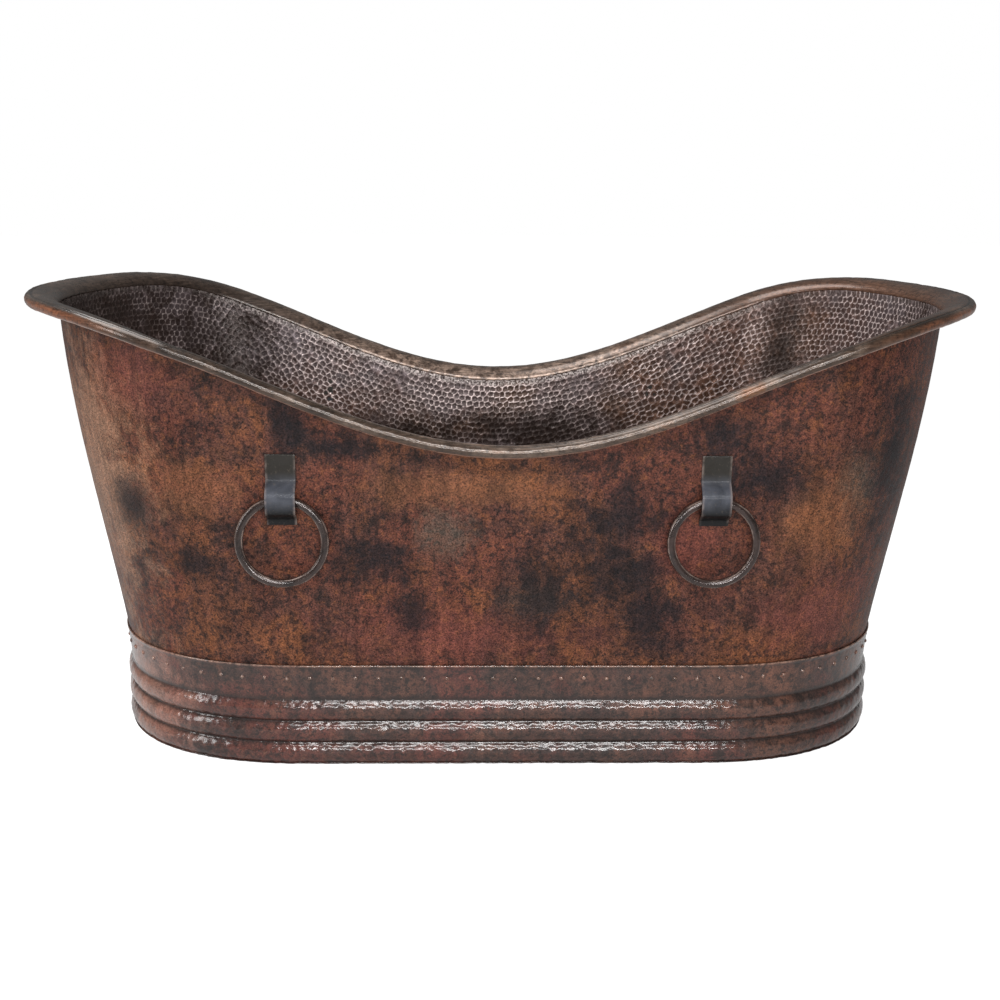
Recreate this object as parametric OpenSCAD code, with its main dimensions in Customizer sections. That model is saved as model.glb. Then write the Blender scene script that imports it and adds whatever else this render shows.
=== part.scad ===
// Freestanding double-slipper bathtub in hammered copper sheet: a tapering oval shell with a
// rolled, saddle-shaped rim, standing on a beaded plinth, with four forged rings on straps.
// Origin: middle of the footprint on the floor. +X along the tub, -Y the front, +Z up. Millimetres.

/* [Rim] */
// Length over the rolled rim
rim_length = 1702; // [1500:1:1830]
// Width over the rolled rim
rim_width = 872; // [760:1:900]
// Height of the rim's crest at the two raised ends
end_height = 788; // [700:1:860]
// Height of the rim's crest at the middle of each long side
mid_height = 581; // [520:1:640]
// Width of the flared rim outside the wall
rim_flare = 58; // [45:1:70]
// Diameter of the roll along the rim's edge
roll_d = 20; // [16:1:26]

/* [Shell] */
// Thickness of the copper sheet
sheet_t = 2; // [1.5:0.1:3]
// Height of the inside floor above the ground
floor_z = 112; // [100:1:130]
// Radius between the wall and the floor
corner_r = 38; // [25:1:50]
// Diameter of the drain hole
drain_hole_d = 52; // [50:1:54]

/* [Plinth] */
// Length of the plinth
plinth_length = 1400; // [1250:1:1460]
// Width of the plinth
plinth_width = 678; // [600:1:720]
// Height of the plinth's upper lip
plinth_height = 182; // [160:1:200]
// Height of each of the three round beads
bead_h = 39; // [30:0.5:44]
// How far the beads stand out of the grooves
bead_depth = 8; // [4:0.5:10]
// Number of rivets round the plinth band
rivet_count = 92; // [60:2:120]
// Diameter of a rivet head
rivet_d = 9; // [6:0.5:12]

/* [Rings and straps] */
// Outer diameter of a ring
ring_d = 156; // [130:1:180]
// Thickness of the ring's bar
ring_bar = 15; // [12:0.5:16]
// Height of the axis that a ring swings on
ring_axis_z = 480; // [440:1:500]
// Distance of the left rings from the middle
ring_left_x = 368; // [330:1:380]
// Distance of the right rings from the middle
ring_right_x = 342; // [330:1:380]
// Width of a strap
strap_w = 49; // [40:1:55]
// Thickness of a strap
strap_t = 4; // [3:0.5:4.5]

/* [Waste] */
// Outside diameter of the waste tailpiece
tail_d = 38.1; // [38.1:0.1:38.1]
// Travel of the stopper
stopper_travel = 7.5; // [5:0.5:7.5]

/* [Hidden] */

copper = [0.42, 0.22, 0.15];
dark_copper = [0.30, 0.20, 0.17];
iron = [0.20, 0.21, 0.23];
steel = [0.45, 0.45, 0.47];
bronze = [0.35, 0.24, 0.16];
rubber = [0.08, 0.08, 0.08];
oak = [0.62, 0.48, 0.32];
$fn = 64;

// Segments in a quarter curve and along a straight side of every plan outline
curve_steps = 18;
side_steps = 20;
outline_n = 4 * curve_steps + 2 * side_steps;

// Plan outlines: half length, half width, half of the straight side, fullness of the ends
rim_plan = [rim_length / 2, rim_width / 2, rim_length * 0.309, 1.84];
wall_top_plan = [rim_plan[0] - rim_flare, rim_plan[1] - rim_flare + 2, rim_plan[2], 1.84];
plinth_plan = [plinth_length / 2, plinth_width / 2, plinth_length * 0.236, 2.3];
shell_foot_z = floor_z + corner_r;
shell_foot_inset = 8;
shell_foot_plan = inset_plan(plinth_plan, shell_foot_inset);

// Fullness of the wall between its foot and its top
wall_bulge = 0.64;
wall_levels = 10;
// Drop from the rim's crest to the top of the wall
flare_drop = 24;
roll_r = roll_d / 2;
core_r = roll_r - sheet_t;
roll_centre = [rim_flare - roll_r, -roll_r];

// Flat seat round the drain, and the shallow sump around it
drain_seat_r = 42;
sump_r = 100;
sump_depth = 6;

// Plinth levels
bead_top_z = 3 * bead_h;
rivet_z = bead_top_z + 0.62 * (plinth_height - bead_top_z);
neck_inset = bead_depth - 1;

// Ring and strap places
ring_r = (ring_d - ring_bar) / 2;
bar_r = ring_bar / 2;
strap_lean = 5.3;
strap_gap = 1.6;
strap_axis_u = bar_r + strap_gap;
bar_sag = ring_r - sqrt(ring_r * ring_r - strap_w * strap_w / 4);
strap_depth = strap_axis_u + bar_r + bar_sag + 1;

// Bearers under the floor
bearer_w = 45;
bearer_x = [-470, -150, 150, 470];
foot_ring_t = 6;
foot_ring_w = 45;
pad_t = 3;
floor_under_z = floor_z - sheet_t;

// Levels of the waste, counted from the sheet round the drain hole
seat_z = floor_z - sump_depth;
gasket_t = 2;
flange_t = 3;
flange_z = seat_z + gasket_t + flange_t;
flange_r = 38;
shank_r = 24;
waste_bore_r = tail_d / 2 + 0.05;
throat_r = 20.5;
throat_depth = 9;
shank_bottom_z = 53;
washer_t = 4;
slip_t = 1.5;
locknut_h = 10;
under_z = seat_z - sheet_t;
tail_bottom_z = 10;
tail_nut_bottom_z = 46;
tail_neck_z = tail_nut_bottom_z - 1;
tail_neck_r = tail_d / 2 - 0.75;
cartridge_r = 9;
cartridge_top_z = flange_z - 8;
cartridge_bottom_z = flange_z - 34;
chamber_r = 6.5;
chamber_top_z = flange_z - 14;
chamber_bottom_z = flange_z - 33;
stem_r = 4;
stem_clear = 0.05;
stem_head_h = 2.4;

// ---- Plan outlines -------------------------------------------------------------------------

function inset_plan(plan, d) = [plan[0] - d, plan[1] - d, plan[2], plan[3]];

// A straight side between two superellipse quarters: c is half of the straight side
function quarter(plan, ang) =
    let (e = 2 / plan[3])
    [plan[2] + (plan[0] - plan[2]) * pow(cos(ang), e), plan[1] * pow(sin(ang), e)];

function side_x(plan, i) = plan[2] * (1 - 2 * i / side_steps);

// All points of an outline, counter-clockwise from the end at +X
function outline(plan) = concat(
    [for (i = [0:curve_steps - 1]) quarter(plan, 90 * i / curve_steps)],
    [for (i = [0:side_steps - 1]) [side_x(plan, i), plan[1]]],
    [for (i = [0:curve_steps - 1])
        let (p = quarter(plan, 90 - 90 * i / curve_steps)) [-p[0], p[1]]],
    [for (i = [0:curve_steps - 1])
        let (p = quarter(plan, 90 * i / curve_steps)) [-p[0], -p[1]]],
    [for (i = [0:side_steps - 1]) [-side_x(plan, i), -plan[1]]],
    [for (i = [0:curve_steps - 1])
        let (p = quarter(plan, 90 - 90 * i / curve_steps)) [p[0], -p[1]]]);

function mix(a, b, s) = a + (b - a) * s;

// Height of the rim's crest above a point of the rim: two raised ends and a low middle
function crest_z(x) =
    let (u = min(1, abs(x) / (rim_plan[0] * 0.92)))
    mid_height + (end_height - mid_height) * (1 - cos(180 * u)) / 2;

rim_line = outline(rim_plan);
wall_top_line = outline(wall_top_plan);
wall_foot_line = outline(shell_foot_plan);
wall_top_in_line = outline(inset_plan(wall_top_plan, sheet_t));
wall_foot_in_line = outline(inset_plan(shell_foot_plan, sheet_t));

// A closed section carried round an outline: sections[i][j] is point j of section i
module swept_ring(sections) {
    n = len(sections);
    m = len(sections[0]);
    faces = [for (i = [0:n - 1], j = [0:m - 1])
        let (a = i * m + j,
             b = i * m + (j + 1) % m,
             c = ((i + 1) % n) * m + (j + 1) % m,
             d = ((i + 1) % n) * m + j)
        each [[a, b, c], [a, c, d]]];
    polyhedron(points = [for (s = sections) each s], faces = faces, convexity = 10);
}

function flip(list) = [for (k = [len(list) - 1:-1:0]) list[k]];

// ---- Shell ---------------------------------------------------------------------------------

// Outward travel of the wall at height fraction s
function wall_travel(s) = s + wall_bulge * s * s * (1 - s);

function wall_point(foot, top, top_z, s) =
    let (p = mix(foot, top, wall_travel(s)))
    [p[0], p[1], mix(shell_foot_z, top_z, s)];

module tub_wall() {
    steps = [for (k = [0:wall_levels]) k / wall_levels];
    color(copper)
        swept_ring([for (i = [0:outline_n - 1])
            let (top_z = crest_z(rim_line[i][0]) - flare_drop)
            concat(
                [for (s = steps) wall_point(wall_foot_in_line[i], wall_top_in_line[i], top_z, s)],
                [for (s = flip(steps)) wall_point(wall_foot_line[i], wall_top_line[i], top_z, s)])]);
}

// Upper face of the floor from the wall's foot to the drain hole, as [inset, height] pairs
function corner_steps() = [for (k = [0:4])
    let (a = 90 * k / 4) [corner_r * (1 - cos(a)), shell_foot_z - corner_r * sin(a)]];

// Upper face of the sump as [radius, height] pairs
function sump_steps() = [[sump_r, floor_z], [drain_seat_r, seat_z], [drain_hole_d / 2, seat_z]];

floor_lines = [for (c = corner_steps()) outline(inset_plan(shell_foot_plan, sheet_t + c[0]))];
floor_under_lines = [for (c = corner_steps()) outline(inset_plan(shell_foot_plan, c[0] * 0.99))];

module tub_floor() {
    corner = corner_steps();
    rings = sump_steps();
    color(dark_copper)
        swept_ring([for (i = [0:outline_n - 1])
            let (p = wall_foot_line[i],
                 ang = atan2(p[1], p[0]),
                 turn = [cos(ang), sin(ang)])
            concat(
                [for (r = flip(rings)) [r[0] * turn[0], r[0] * turn[1], r[1]]],
                [for (k = [4:-1:0]) [floor_lines[k][i][0], floor_lines[k][i][1], corner[k][1]]],
                [for (k = [0:4])
                    [floor_under_lines[k][i][0], floor_under_lines[k][i][1],
                     corner[k][1] - sheet_t * sin(90 * k / 4)]],
                [for (r = rings) [r[0] * turn[0], r[0] * turn[1], r[1] - sheet_t]])]);
}

// ---- Rim -----------------------------------------------------------------------------------

// A point of the rim at section place q = [outward, height above the crest]
function rim_point(i, q) =
    let (p = mix(wall_top_line[i], rim_line[i], q[0] / rim_flare))
    [p[0], p[1], crest_z(rim_line[i][0]) + q[1]];

// Section of the rim's sheet: the flare out of the wall, then the roll round the core rod
flare_steps = 5;
function flare_point(k, t) =
    let (a = 90 * k / flare_steps,
         w = roll_centre[0] - 3)
    [w - (w + t) * cos(a), -flare_drop + (flare_drop - sheet_t + t) * sin(a)];

roll_steps = 8;
roll_end = -200;
function roll_point(k, r) =
    let (a = 80 + (roll_end - 80) * k / roll_steps)
    roll_centre + r * [cos(a), sin(a)];

rim_section = concat(
    [for (k = [0:flare_steps - 1]) flare_point(k, sheet_t)],
    [for (k = [0:roll_steps]) roll_point(k, roll_r)],
    [for (k = [roll_steps:-1:0]) roll_point(k, core_r)],
    [for (k = [flare_steps - 1:-1:0]) flare_point(k, 0)]);

module rolled_rim() {
    color(dark_copper)
        swept_ring([for (i = [0:outline_n - 1]) [for (q = rim_section) rim_point(i, q)]]);
}

module rim_core_rod() {
    sides = 8;
    color(steel)
        swept_ring([for (i = [0:outline_n - 1]) [for (k = [0:sides - 1])
            let (a = -360 * k / sides)
            rim_point(i, roll_centre + (core_r - 0.4) * [cos(a), sin(a)])]]);
}

// ---- Plinth --------------------------------------------------------------------------------

// Outside of one bead, an arc, as [inset, height] pairs from its upper groove down
bead_steps = 5;
bead_r = (bead_h * bead_h / 4 + bead_depth * bead_depth) / (2 * bead_depth);
bead_half_angle = asin(bead_h / 2 / bead_r);
function bead(top_z) = [for (k = [0:bead_steps - 1])
    let (a = bead_half_angle * (1 - 2 * k / bead_steps))
    [neck_inset + 1 - bead_depth + bead_r * (1 - cos(a)), top_z - bead_h / 2 + bead_r * sin(a)]];

skirt_outside = concat(
    [[0.5, plinth_height], [0, plinth_height - 3], [2, plinth_height - 7], [neck_inset, bead_top_z + 2]],
    bead(bead_top_z),
    bead(bead_top_z - bead_h),
    bead(bead_top_z - 2 * bead_h),
    [[neck_inset - 3, 0.5]]);

// Inside of one bead, from its lower groove up: the sheet follows the bead
inner_groove = neck_inset + 3;
inner_crown = sheet_t + 1;
function bead_inside(bottom_z, foot_z) = [
    [inner_groove, bottom_z + foot_z],
    [inner_crown, bottom_z + max(foot_z + 5.5, bead_h * 0.3)],
    [inner_crown, bottom_z + bead_h * 0.7]];

skirt_inside = concat(
    [[inner_groove, 0.5]],
    bead_inside(0, foot_ring_t + 0.5),
    bead_inside(bead_h, 0),
    bead_inside(2 * bead_h, 0),
    [[inner_groove, bead_top_z], [sheet_t + 2.5, plinth_height - 10], [sheet_t + 2.2, plinth_height]]);
skirt_section = concat(skirt_outside, skirt_inside);
skirt_lines = [for (q = skirt_section) outline(inset_plan(plinth_plan, q[0]))];

module plinth_skirt() {
    color(copper)
        swept_ring([for (i = [0:outline_n - 1]) [for (k = [0:len(skirt_section) - 1])
            [skirt_lines[k][i][0], skirt_lines[k][i][1], skirt_section[k][1]]]]);
}

// Places at equal distances along a closed line
function run(line) = [for (i = 0, d = 0; i <= len(line);
    d = d + norm(line[(i + 1) % len(line)] - line[i % len(line)]), i = i + 1) d];
function at_distance(line, sums, d, i = 0) =
    sums[i + 1] >= d
        ? let (p = line[i], q = line[(i + 1) % len(line)], f = (d - sums[i]) / (sums[i + 1] - sums[i]))
          [mix(p, q, f), atan2(q[1] - p[1], q[0] - p[0])]
        : at_distance(line, sums, d, i + 1);

rivet_inset = mix(2, neck_inset, (plinth_height - 7 - rivet_z) / (plinth_height - 9 - bead_top_z));
rivet_line = outline(inset_plan(plinth_plan, rivet_inset));
rivet_sums = run(rivet_line);

module rivet() {
    head_h = rivet_d * 0.35;
    rotate_extrude($fn = 16)
        polygon([[0, -sheet_t - 1], [rivet_d * 0.22, -sheet_t - 1], [rivet_d * 0.22, -0.5],
                 [rivet_d / 2, -0.5], [rivet_d * 0.47, head_h * 0.4], [rivet_d * 0.32, head_h * 0.8],
                 [0, head_h]]);
}

module placed_rivet(k) {
    place = at_distance(rivet_line, rivet_sums, rivet_sums[outline_n] * (k + 0.5) / rivet_count);
    translate([place[0][0], place[0][1], rivet_z])
        rotate([0, 0, place[1]])
            rotate([90, 0, 0])
                rivet();
}

// Rivets from number a up to b, in halves
module rivets(a, b) {
    if (b - a == 1) {
        placed_rivet(a);
    } else {
        half = floor((a + b) / 2);
        rivets(a, half);
        rivets(half, b);
    }
}

module skirt_rivets() {
    color(copper) rivets(0, rivet_count);
}

module foot_ring() {
    outer = inner_groove;
    color(steel)
        linear_extrude(height = foot_ring_t)
            difference() {
                polygon(outline(inset_plan(plinth_plan, outer)));
                polygon(outline(inset_plan(plinth_plan, outer + foot_ring_w)));
            }
}

// ---- Bearers -------------------------------------------------------------------------------

// Half width of the space inside the plinth at x
function inner_half_width(x) =
    let (a = plinth_plan[0] - plinth_plan[2],
         u = max(0, abs(x) - plinth_plan[2]) / a)
    plinth_plan[1] * pow(1 - pow(u, plinth_plan[3]), 1 / plinth_plan[3]);

// The bearers lie on the foot ring and stop short of the plinth's sheet
function bearer_half(k) = inner_half_width(abs(bearer_x[k]) + bearer_w / 2) - 22;

module bearer(k) {
    half = bearer_half(k);
    top = floor_under_z - pad_t;
    notch = 20;
    color(oak)
        translate([bearer_x[k], 0, 0])
            rotate([90, 0, 90])
                linear_extrude(height = bearer_w, center = true)
                    polygon([[-half, foot_ring_t], [half, foot_ring_t], [half, top - notch],
                             [half - notch, top], [notch - half, top], [-half, top - notch]]);
}

module bearer_far_left() { bearer(0); }
module bearer_left() { bearer(1); }
module bearer_right() { bearer(2); }
module bearer_far_right() { bearer(3); }

module bearer_pads() {
    color(rubber)
        for (k = [0:3]) {
            half = bearer_half(k) - 30;
            translate([bearer_x[k] - bearer_w / 2 + 3, -half, floor_under_z - pad_t])
                cube([bearer_w - 6, 2 * half, pad_t]);
        }
}

// ---- Straps and rings ----------------------------------------------------------------------

// Outward travel of the long wall at x and height z, where its side runs straight. The lines up
// the wall fan out a little, so the line through x is found in a few rounds.
function long_wall_travel(x, z, g = 0.7, rounds = 6) =
    rounds == 0 ? g
    : let (line_x = x * rim_plan[2] / mix(shell_foot_plan[2], wall_top_plan[2], g),
           top_z = crest_z(line_x) - flare_drop)
      long_wall_travel(x, z, wall_travel((z - shell_foot_z) / (top_z - shell_foot_z)), rounds - 1);

function long_wall_y(x, z) = mix(shell_foot_plan[1], wall_top_plan[1], long_wall_travel(x, z));

// Back face of a strap: distance from the wall at height v along it, counted from the ring's axis
strap_top_v = 76;
strap_bottom_v = -45;
arch_top = [34, 8];
arch_bottom = [-36, -14];
function ramp(v, foot, crown) = (1 - cos(180 * (v - foot) / (crown - foot))) / 2;
function strap_back(v) =
    v >= arch_top[0] || v <= arch_bottom[0] ? 0
    : v > arch_top[1] ? strap_depth * ramp(v, arch_top[0], arch_top[1])
    : v < arch_bottom[1] ? strap_depth * ramp(v, arch_bottom[0], arch_bottom[1])
    : strap_depth;

strap_vs = concat(
    [strap_top_v],
    [for (k = [0:10]) mix(arch_top[0], arch_top[1], k / 10)],
    [for (k = [0:10]) mix(arch_bottom[1], arch_bottom[0], k / 10)],
    [strap_bottom_v]);
strap_line = [for (v = strap_vs) [strap_back(v), v]];

// A line moved sideways by t, square to its run at each point
function side_point(line, k, t) =
    let (a = line[max(0, k - 1)], b = line[min(len(line) - 1, k + 1)], d = (b - a) / norm(b - a))
    line[k] + t * [-d[1], d[0]];

module strap() {
    front = [for (k = [0:len(strap_line) - 1]) side_point(strap_line, k, strap_t)];
    color(iron)
        rotate([strap_lean, 0, 0])
            rotate([90, 0, -90])
                linear_extrude(height = strap_w, center = true)
                    polygon([for (p = concat(strap_line, flip(front))) [p[0] - strap_axis_u, p[1]]]);
}

module ring() {
    color(iron)
        translate([0, 0, -ring_r])
            rotate([90, 0, 0])
                rotate_extrude($fn = 96)
                    translate([ring_r, 0])
                        circle(r = bar_r, $fn = 32);
}

// The straps are set slightly into the sheet, as brazed
strap_bite = 0.4;
function ring_axis_y(x) = long_wall_y(abs(x), ring_axis_z) + strap_axis_u - strap_bite;

module at_ring(x, side) {
    translate([x, side * ring_axis_y(x), ring_axis_z])
        rotate([0, 0, side < 0 ? 0 : 180])
            children();
}

module strap_front_left() { at_ring(-ring_left_x, -1) strap(); }
module strap_front_right() { at_ring(ring_right_x, -1) strap(); }
module strap_back_left() { at_ring(-ring_left_x, 1) strap(); }
module strap_back_right() { at_ring(ring_right_x, 1) strap(); }
module ring_front_left() { at_ring(-ring_left_x, -1) ring(); }
module ring_front_right() { at_ring(ring_right_x, -1) ring(); }
module ring_back_left() { at_ring(-ring_left_x, 1) ring(); }
module ring_back_right() { at_ring(ring_right_x, 1) ring(); }

// ---- Waste ---------------------------------------------------------------------------------

module tube(r_out, r_in, z0, z1) {
    rotate_extrude()
        translate([r_in, z0])
            square([r_out - r_in, z1 - z0]);
}

module drain_body() {
    boss_top = cartridge_bottom_z + 8;
    color(bronze) {
        rotate_extrude()
            polygon([[throat_r, flange_z - 1], [throat_r + 1, flange_z], [flange_r - 1.5, flange_z],
                     [flange_r, flange_z - flange_t], [shank_r, flange_z - flange_t],
                     [shank_r, shank_bottom_z], [waste_bore_r, shank_bottom_z],
                     [waste_bore_r, flange_z - throat_depth - 1], [throat_r, flange_z - throat_depth]]);
        tube(cartridge_r + 3, cartridge_r + 0.03, cartridge_bottom_z, boss_top);
        for (a = [0:90:270])
            rotate([0, 0, a])
                translate([cartridge_r + 2, -1.5, cartridge_bottom_z])
                    cube([waste_bore_r - cartridge_r - 1, 3, 8]);
    }
}

module drain_gasket() {
    color(rubber) tube(flange_r - 2, drain_hole_d / 2, seat_z, seat_z + gasket_t);
}

module drain_washer() {
    color(rubber) tube(flange_r - 2, shank_r + 0.02, under_z - washer_t, under_z);
}

module slip_ring() {
    color(rubber) tube(flange_r - 3, shank_r + 0.2, under_z - washer_t - slip_t, under_z - washer_t);
}

module hex_ring(r_out, r_in, z0, z1) {
    difference() {
        translate([0, 0, z0])
            cylinder(h = z1 - z0, r = r_out, $fn = 6);
        translate([0, 0, z0 - 1])
            cylinder(h = z1 - z0 + 2, r = r_in);
    }
}

module drain_locknut() {
    top = under_z - washer_t - slip_t;
    color(bronze) hex_ring(flange_r, shank_r + 0.02, top - locknut_h, top);
}

// The tube is a little slimmer where it stands in the nut and the shank
module tailpiece() {
    bore = tail_d / 2 - 1.5;
    color(bronze)
        rotate_extrude()
            polygon([[bore, tail_bottom_z], [tail_d / 2, tail_bottom_z], [tail_d / 2, tail_neck_z],
                     [tail_neck_r, tail_neck_z], [tail_neck_r, shank_bottom_z + 18],
                     [bore, shank_bottom_z + 18]]);
}

module tail_washer() {
    color(rubber) tube(shank_r - 0.5, tail_neck_r + 0.02, shank_bottom_z - 3, shank_bottom_z);
}

module tail_nut() {
    lip_z = shank_bottom_z - 3;
    color(bronze) {
        hex_ring(shank_r + 7, shank_r + 0.02, lip_z, shank_bottom_z + 13);
        hex_ring(shank_r + 7, tail_d / 2 + 0.1, tail_nut_bottom_z, lip_z);
    }
}

module stopper_cartridge() {
    color(bronze)
        rotate_extrude()
            polygon([[0, cartridge_bottom_z], [cartridge_r, cartridge_bottom_z],
                     [cartridge_r, cartridge_top_z], [stem_r + stem_clear, cartridge_top_z],
                     [stem_r + stem_clear, chamber_top_z], [chamber_r, chamber_top_z],
                     [chamber_r, chamber_bottom_z], [0, chamber_bottom_z]]);
}

// A spring as a round wire swept along a helix
spring_turns = 4;
spring_sides = 6;
spring_steps = 56;
spring_wire_r = 0.6;
spring_r = 4.6;
module stopper_spring() {
    z0 = chamber_bottom_z + spring_wire_r + 0.05;
    z1 = chamber_top_z - stem_head_h - 0.1 - spring_wire_r - 0.05;
    rings = [for (i = [0:spring_steps])
        let (a = 360 * spring_turns * i / spring_steps,
             z = mix(z0, z1, i / spring_steps))
        [for (k = [0:spring_sides - 1])
            let (b = -360 * k / spring_sides,
                 r = spring_r + spring_wire_r * cos(b))
            [r * cos(a), r * sin(a), z + spring_wire_r * sin(b)]]];
    m = spring_sides;
    body_faces = [for (i = [0:spring_steps - 1], j = [0:m - 1])
        let (a = i * m + j, b = i * m + (j + 1) % m, c = (i + 1) * m + (j + 1) % m, d = (i + 1) * m + j)
        each [[a, b, c], [a, c, d]]];
    start_face = [for (j = [m - 1:-1:0]) j];
    end_face = [for (j = [0:m - 1]) spring_steps * m + j];
    color(steel)
        polyhedron(points = [for (r = rings) each r], faces = concat(body_faces, [start_face, end_face]));
}

cap_z = flange_z + stopper_travel + 0.5;
neck_r = 15.5;
neck_bottom_z = flange_z + 2;

module stopper_stem() {
    head_top = chamber_top_z - 0.1;
    color(steel)
        rotate_extrude()
            polygon([[0, head_top - stem_head_h], [chamber_r - 0.5, head_top - stem_head_h],
                     [chamber_r - 0.5, head_top], [stem_r, head_top], [stem_r, neck_bottom_z],
                     [0, neck_bottom_z]]);
}

module stopper_cap() {
    cap_r = 29;
    crown = 5;
    color(bronze)
        rotate_extrude()
            polygon(concat(
                [[0, neck_bottom_z], [neck_r, neck_bottom_z], [neck_r, cap_z], [cap_r, cap_z]],
                [for (k = [1:9]) let (a = 90 * k / 9)
                    [cap_r * cos(a * 0.999), cap_z + 2 + crown * sin(a)]]));
}

module stopper_seal() {
    color(rubber) tube(throat_r - 0.4, neck_r + 0.02, neck_bottom_z + 0.5, neck_bottom_z + 3.5);
}

tub_wall();
tub_floor();
rolled_rim();
rim_core_rod();
plinth_skirt();
skirt_rivets();
foot_ring();
bearer_far_left();
bearer_left();
bearer_right();
bearer_far_right();
bearer_pads();
strap_front_left();
strap_front_right();
strap_back_left();
strap_back_right();
ring_front_left();
ring_front_right();
ring_back_left();
ring_back_right();
drain_body();
drain_gasket();
drain_washer();
slip_ring();
drain_locknut();
tailpiece();
tail_washer();
tail_nut();
stopper_cartridge();
stopper_spring();
stopper_stem();
stopper_cap();
stopper_seal();
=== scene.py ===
"""Freestanding double-slipper bathtub in hammered copper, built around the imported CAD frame.

Everything is in metres in the row frame: +X along the tub, -Y the front, +Z up, origin on the floor.
"""
import math

import bmesh
import bpy
import numpy as np
from mathutils import Matrix, Vector, kdtree


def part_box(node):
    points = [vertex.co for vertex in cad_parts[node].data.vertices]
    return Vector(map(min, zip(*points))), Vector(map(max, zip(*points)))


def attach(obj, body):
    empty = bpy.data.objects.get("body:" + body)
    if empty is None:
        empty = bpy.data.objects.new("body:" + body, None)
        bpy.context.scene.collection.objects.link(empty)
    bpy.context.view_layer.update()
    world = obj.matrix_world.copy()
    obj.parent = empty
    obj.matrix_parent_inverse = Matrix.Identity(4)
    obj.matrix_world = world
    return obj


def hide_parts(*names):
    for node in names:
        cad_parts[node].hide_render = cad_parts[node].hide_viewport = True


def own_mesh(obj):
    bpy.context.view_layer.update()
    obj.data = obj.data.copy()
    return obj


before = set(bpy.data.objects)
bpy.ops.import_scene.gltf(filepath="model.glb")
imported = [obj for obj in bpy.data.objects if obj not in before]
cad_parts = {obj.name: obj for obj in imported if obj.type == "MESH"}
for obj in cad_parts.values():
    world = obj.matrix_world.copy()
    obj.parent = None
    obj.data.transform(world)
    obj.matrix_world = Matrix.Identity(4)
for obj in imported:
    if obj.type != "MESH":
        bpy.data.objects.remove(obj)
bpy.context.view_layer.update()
TAU = 2 * math.pi

# ---- Driving sizes: the frame's where it gives them, else those of the part's source -----------
rim_low, rim_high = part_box("rolled_rim")
plinth_low, plinth_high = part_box("plinth_skirt")
floor_low, floor_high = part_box("tub_floor")

SHEET = 0.002
CORNER_R = 0.038
FOOT_Z = floor_high.z
RIM_FLARE = 0.058
END_Z = rim_high.z
MID_Z = 0.581
FLARE_DROP = 0.024
ROLL_R = 0.010
BULGE = 0.64
PLINTH_TOP = plinth_high.z
BEAD_H = 0.039
BEAD_DEPTH = 0.008
DRAIN_HOLE_R = 0.026
DRAIN_SEAT_R = 0.042
SUMP_R = 0.100
SUMP_DEPTH = 0.006
CORNER_SHARE = 0.16

# Plan outlines: half length, half width, half of the straight side, fullness of the ends
RIM_PLAN = (rim_high.x, rim_high.y, 0.526, 1.84)
TOP_PLAN = (RIM_PLAN[0] - RIM_FLARE, RIM_PLAN[1] - RIM_FLARE + 0.002, 0.526, 1.84)
PLINTH_PLAN = (plinth_high.x, plinth_high.y, 0.3304, 2.3)
FOOT_PLAN = (floor_high.x, floor_high.y, 0.3304, 2.3)

HAMMER_PITCH = 0.0126
RIDGE_WIDTH = 0.0040
RIDGE_REACH = 1.35
RIDGE_FADE = 0.3

rng = np.random.default_rng(7)


def inset(plan, d):
    return (plan[0] - d, plan[1] - d, plan[2], plan[3])


# ---- The tub's surfaces as functions ---------------------------------------------------------
QUARTER = 18
SIDE = 20
TURN = 4 * QUARTER + 2 * SIDE


def outline(plan, k):
    """Points of a plan outline at places k, counted 0 to TURN counter-clockwise from +X."""
    a, b, c, n = plan
    k = np.mod(np.asarray(k, float), TURN)
    half = TURN / 2
    back = k >= half
    k = np.where(back, k - half, k)
    e = 2 / n
    first = np.clip(k / QUARTER, 0, 1) * math.pi / 2
    last = np.clip((QUARTER * 2 + SIDE - k) / QUARTER, 0, 1) * math.pi / 2
    side = c * (1 - 2 * (k - QUARTER) / SIDE)

    def bend(angle):
        cos = np.clip(np.cos(angle), 0, 1) ** e
        sin = np.clip(np.sin(angle), 0, 1) ** e
        return c + (a - c) * cos, b * sin

    x1, y1 = bend(first)
    x2, y2 = bend(last)
    x = np.where(k < QUARTER, x1, np.where(k < QUARTER + SIDE, side, -x2))
    y = np.where(k < QUARTER, y1, np.where(k < QUARTER + SIDE, b, y2))
    return np.where(back, -x, x), np.where(back, -y, y)


def crest_z(x):
    """Height of the rim's crest over a point of the rim outline."""
    u = np.clip(np.abs(x) / (RIM_PLAN[0] * 0.92), 0, 1)
    return MID_Z + (END_Z - MID_Z) * (1 - np.cos(math.pi * u)) / 2


def wall_travel(s):
    """Share of the way from foot to top outline at height share s: ahead of s where the wall bulges."""
    return s + BULGE * s * s * (1 - s)


def wall_points(k, s, depth):
    """Points of the wall at outline place k and height share s, depth inward of its outside."""
    g = wall_travel(s)
    fx, fy = outline(inset(FOOT_PLAN, depth), k)
    tx, ty = outline(inset(TOP_PLAN, depth), k)
    top = crest_z(outline(RIM_PLAN, k)[0]) - FLARE_DROP
    return np.stack([fx + (tx - fx) * g, fy + (ty - fy) * g, FOOT_Z + (top - FOOT_Z) * s], -1)


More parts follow.
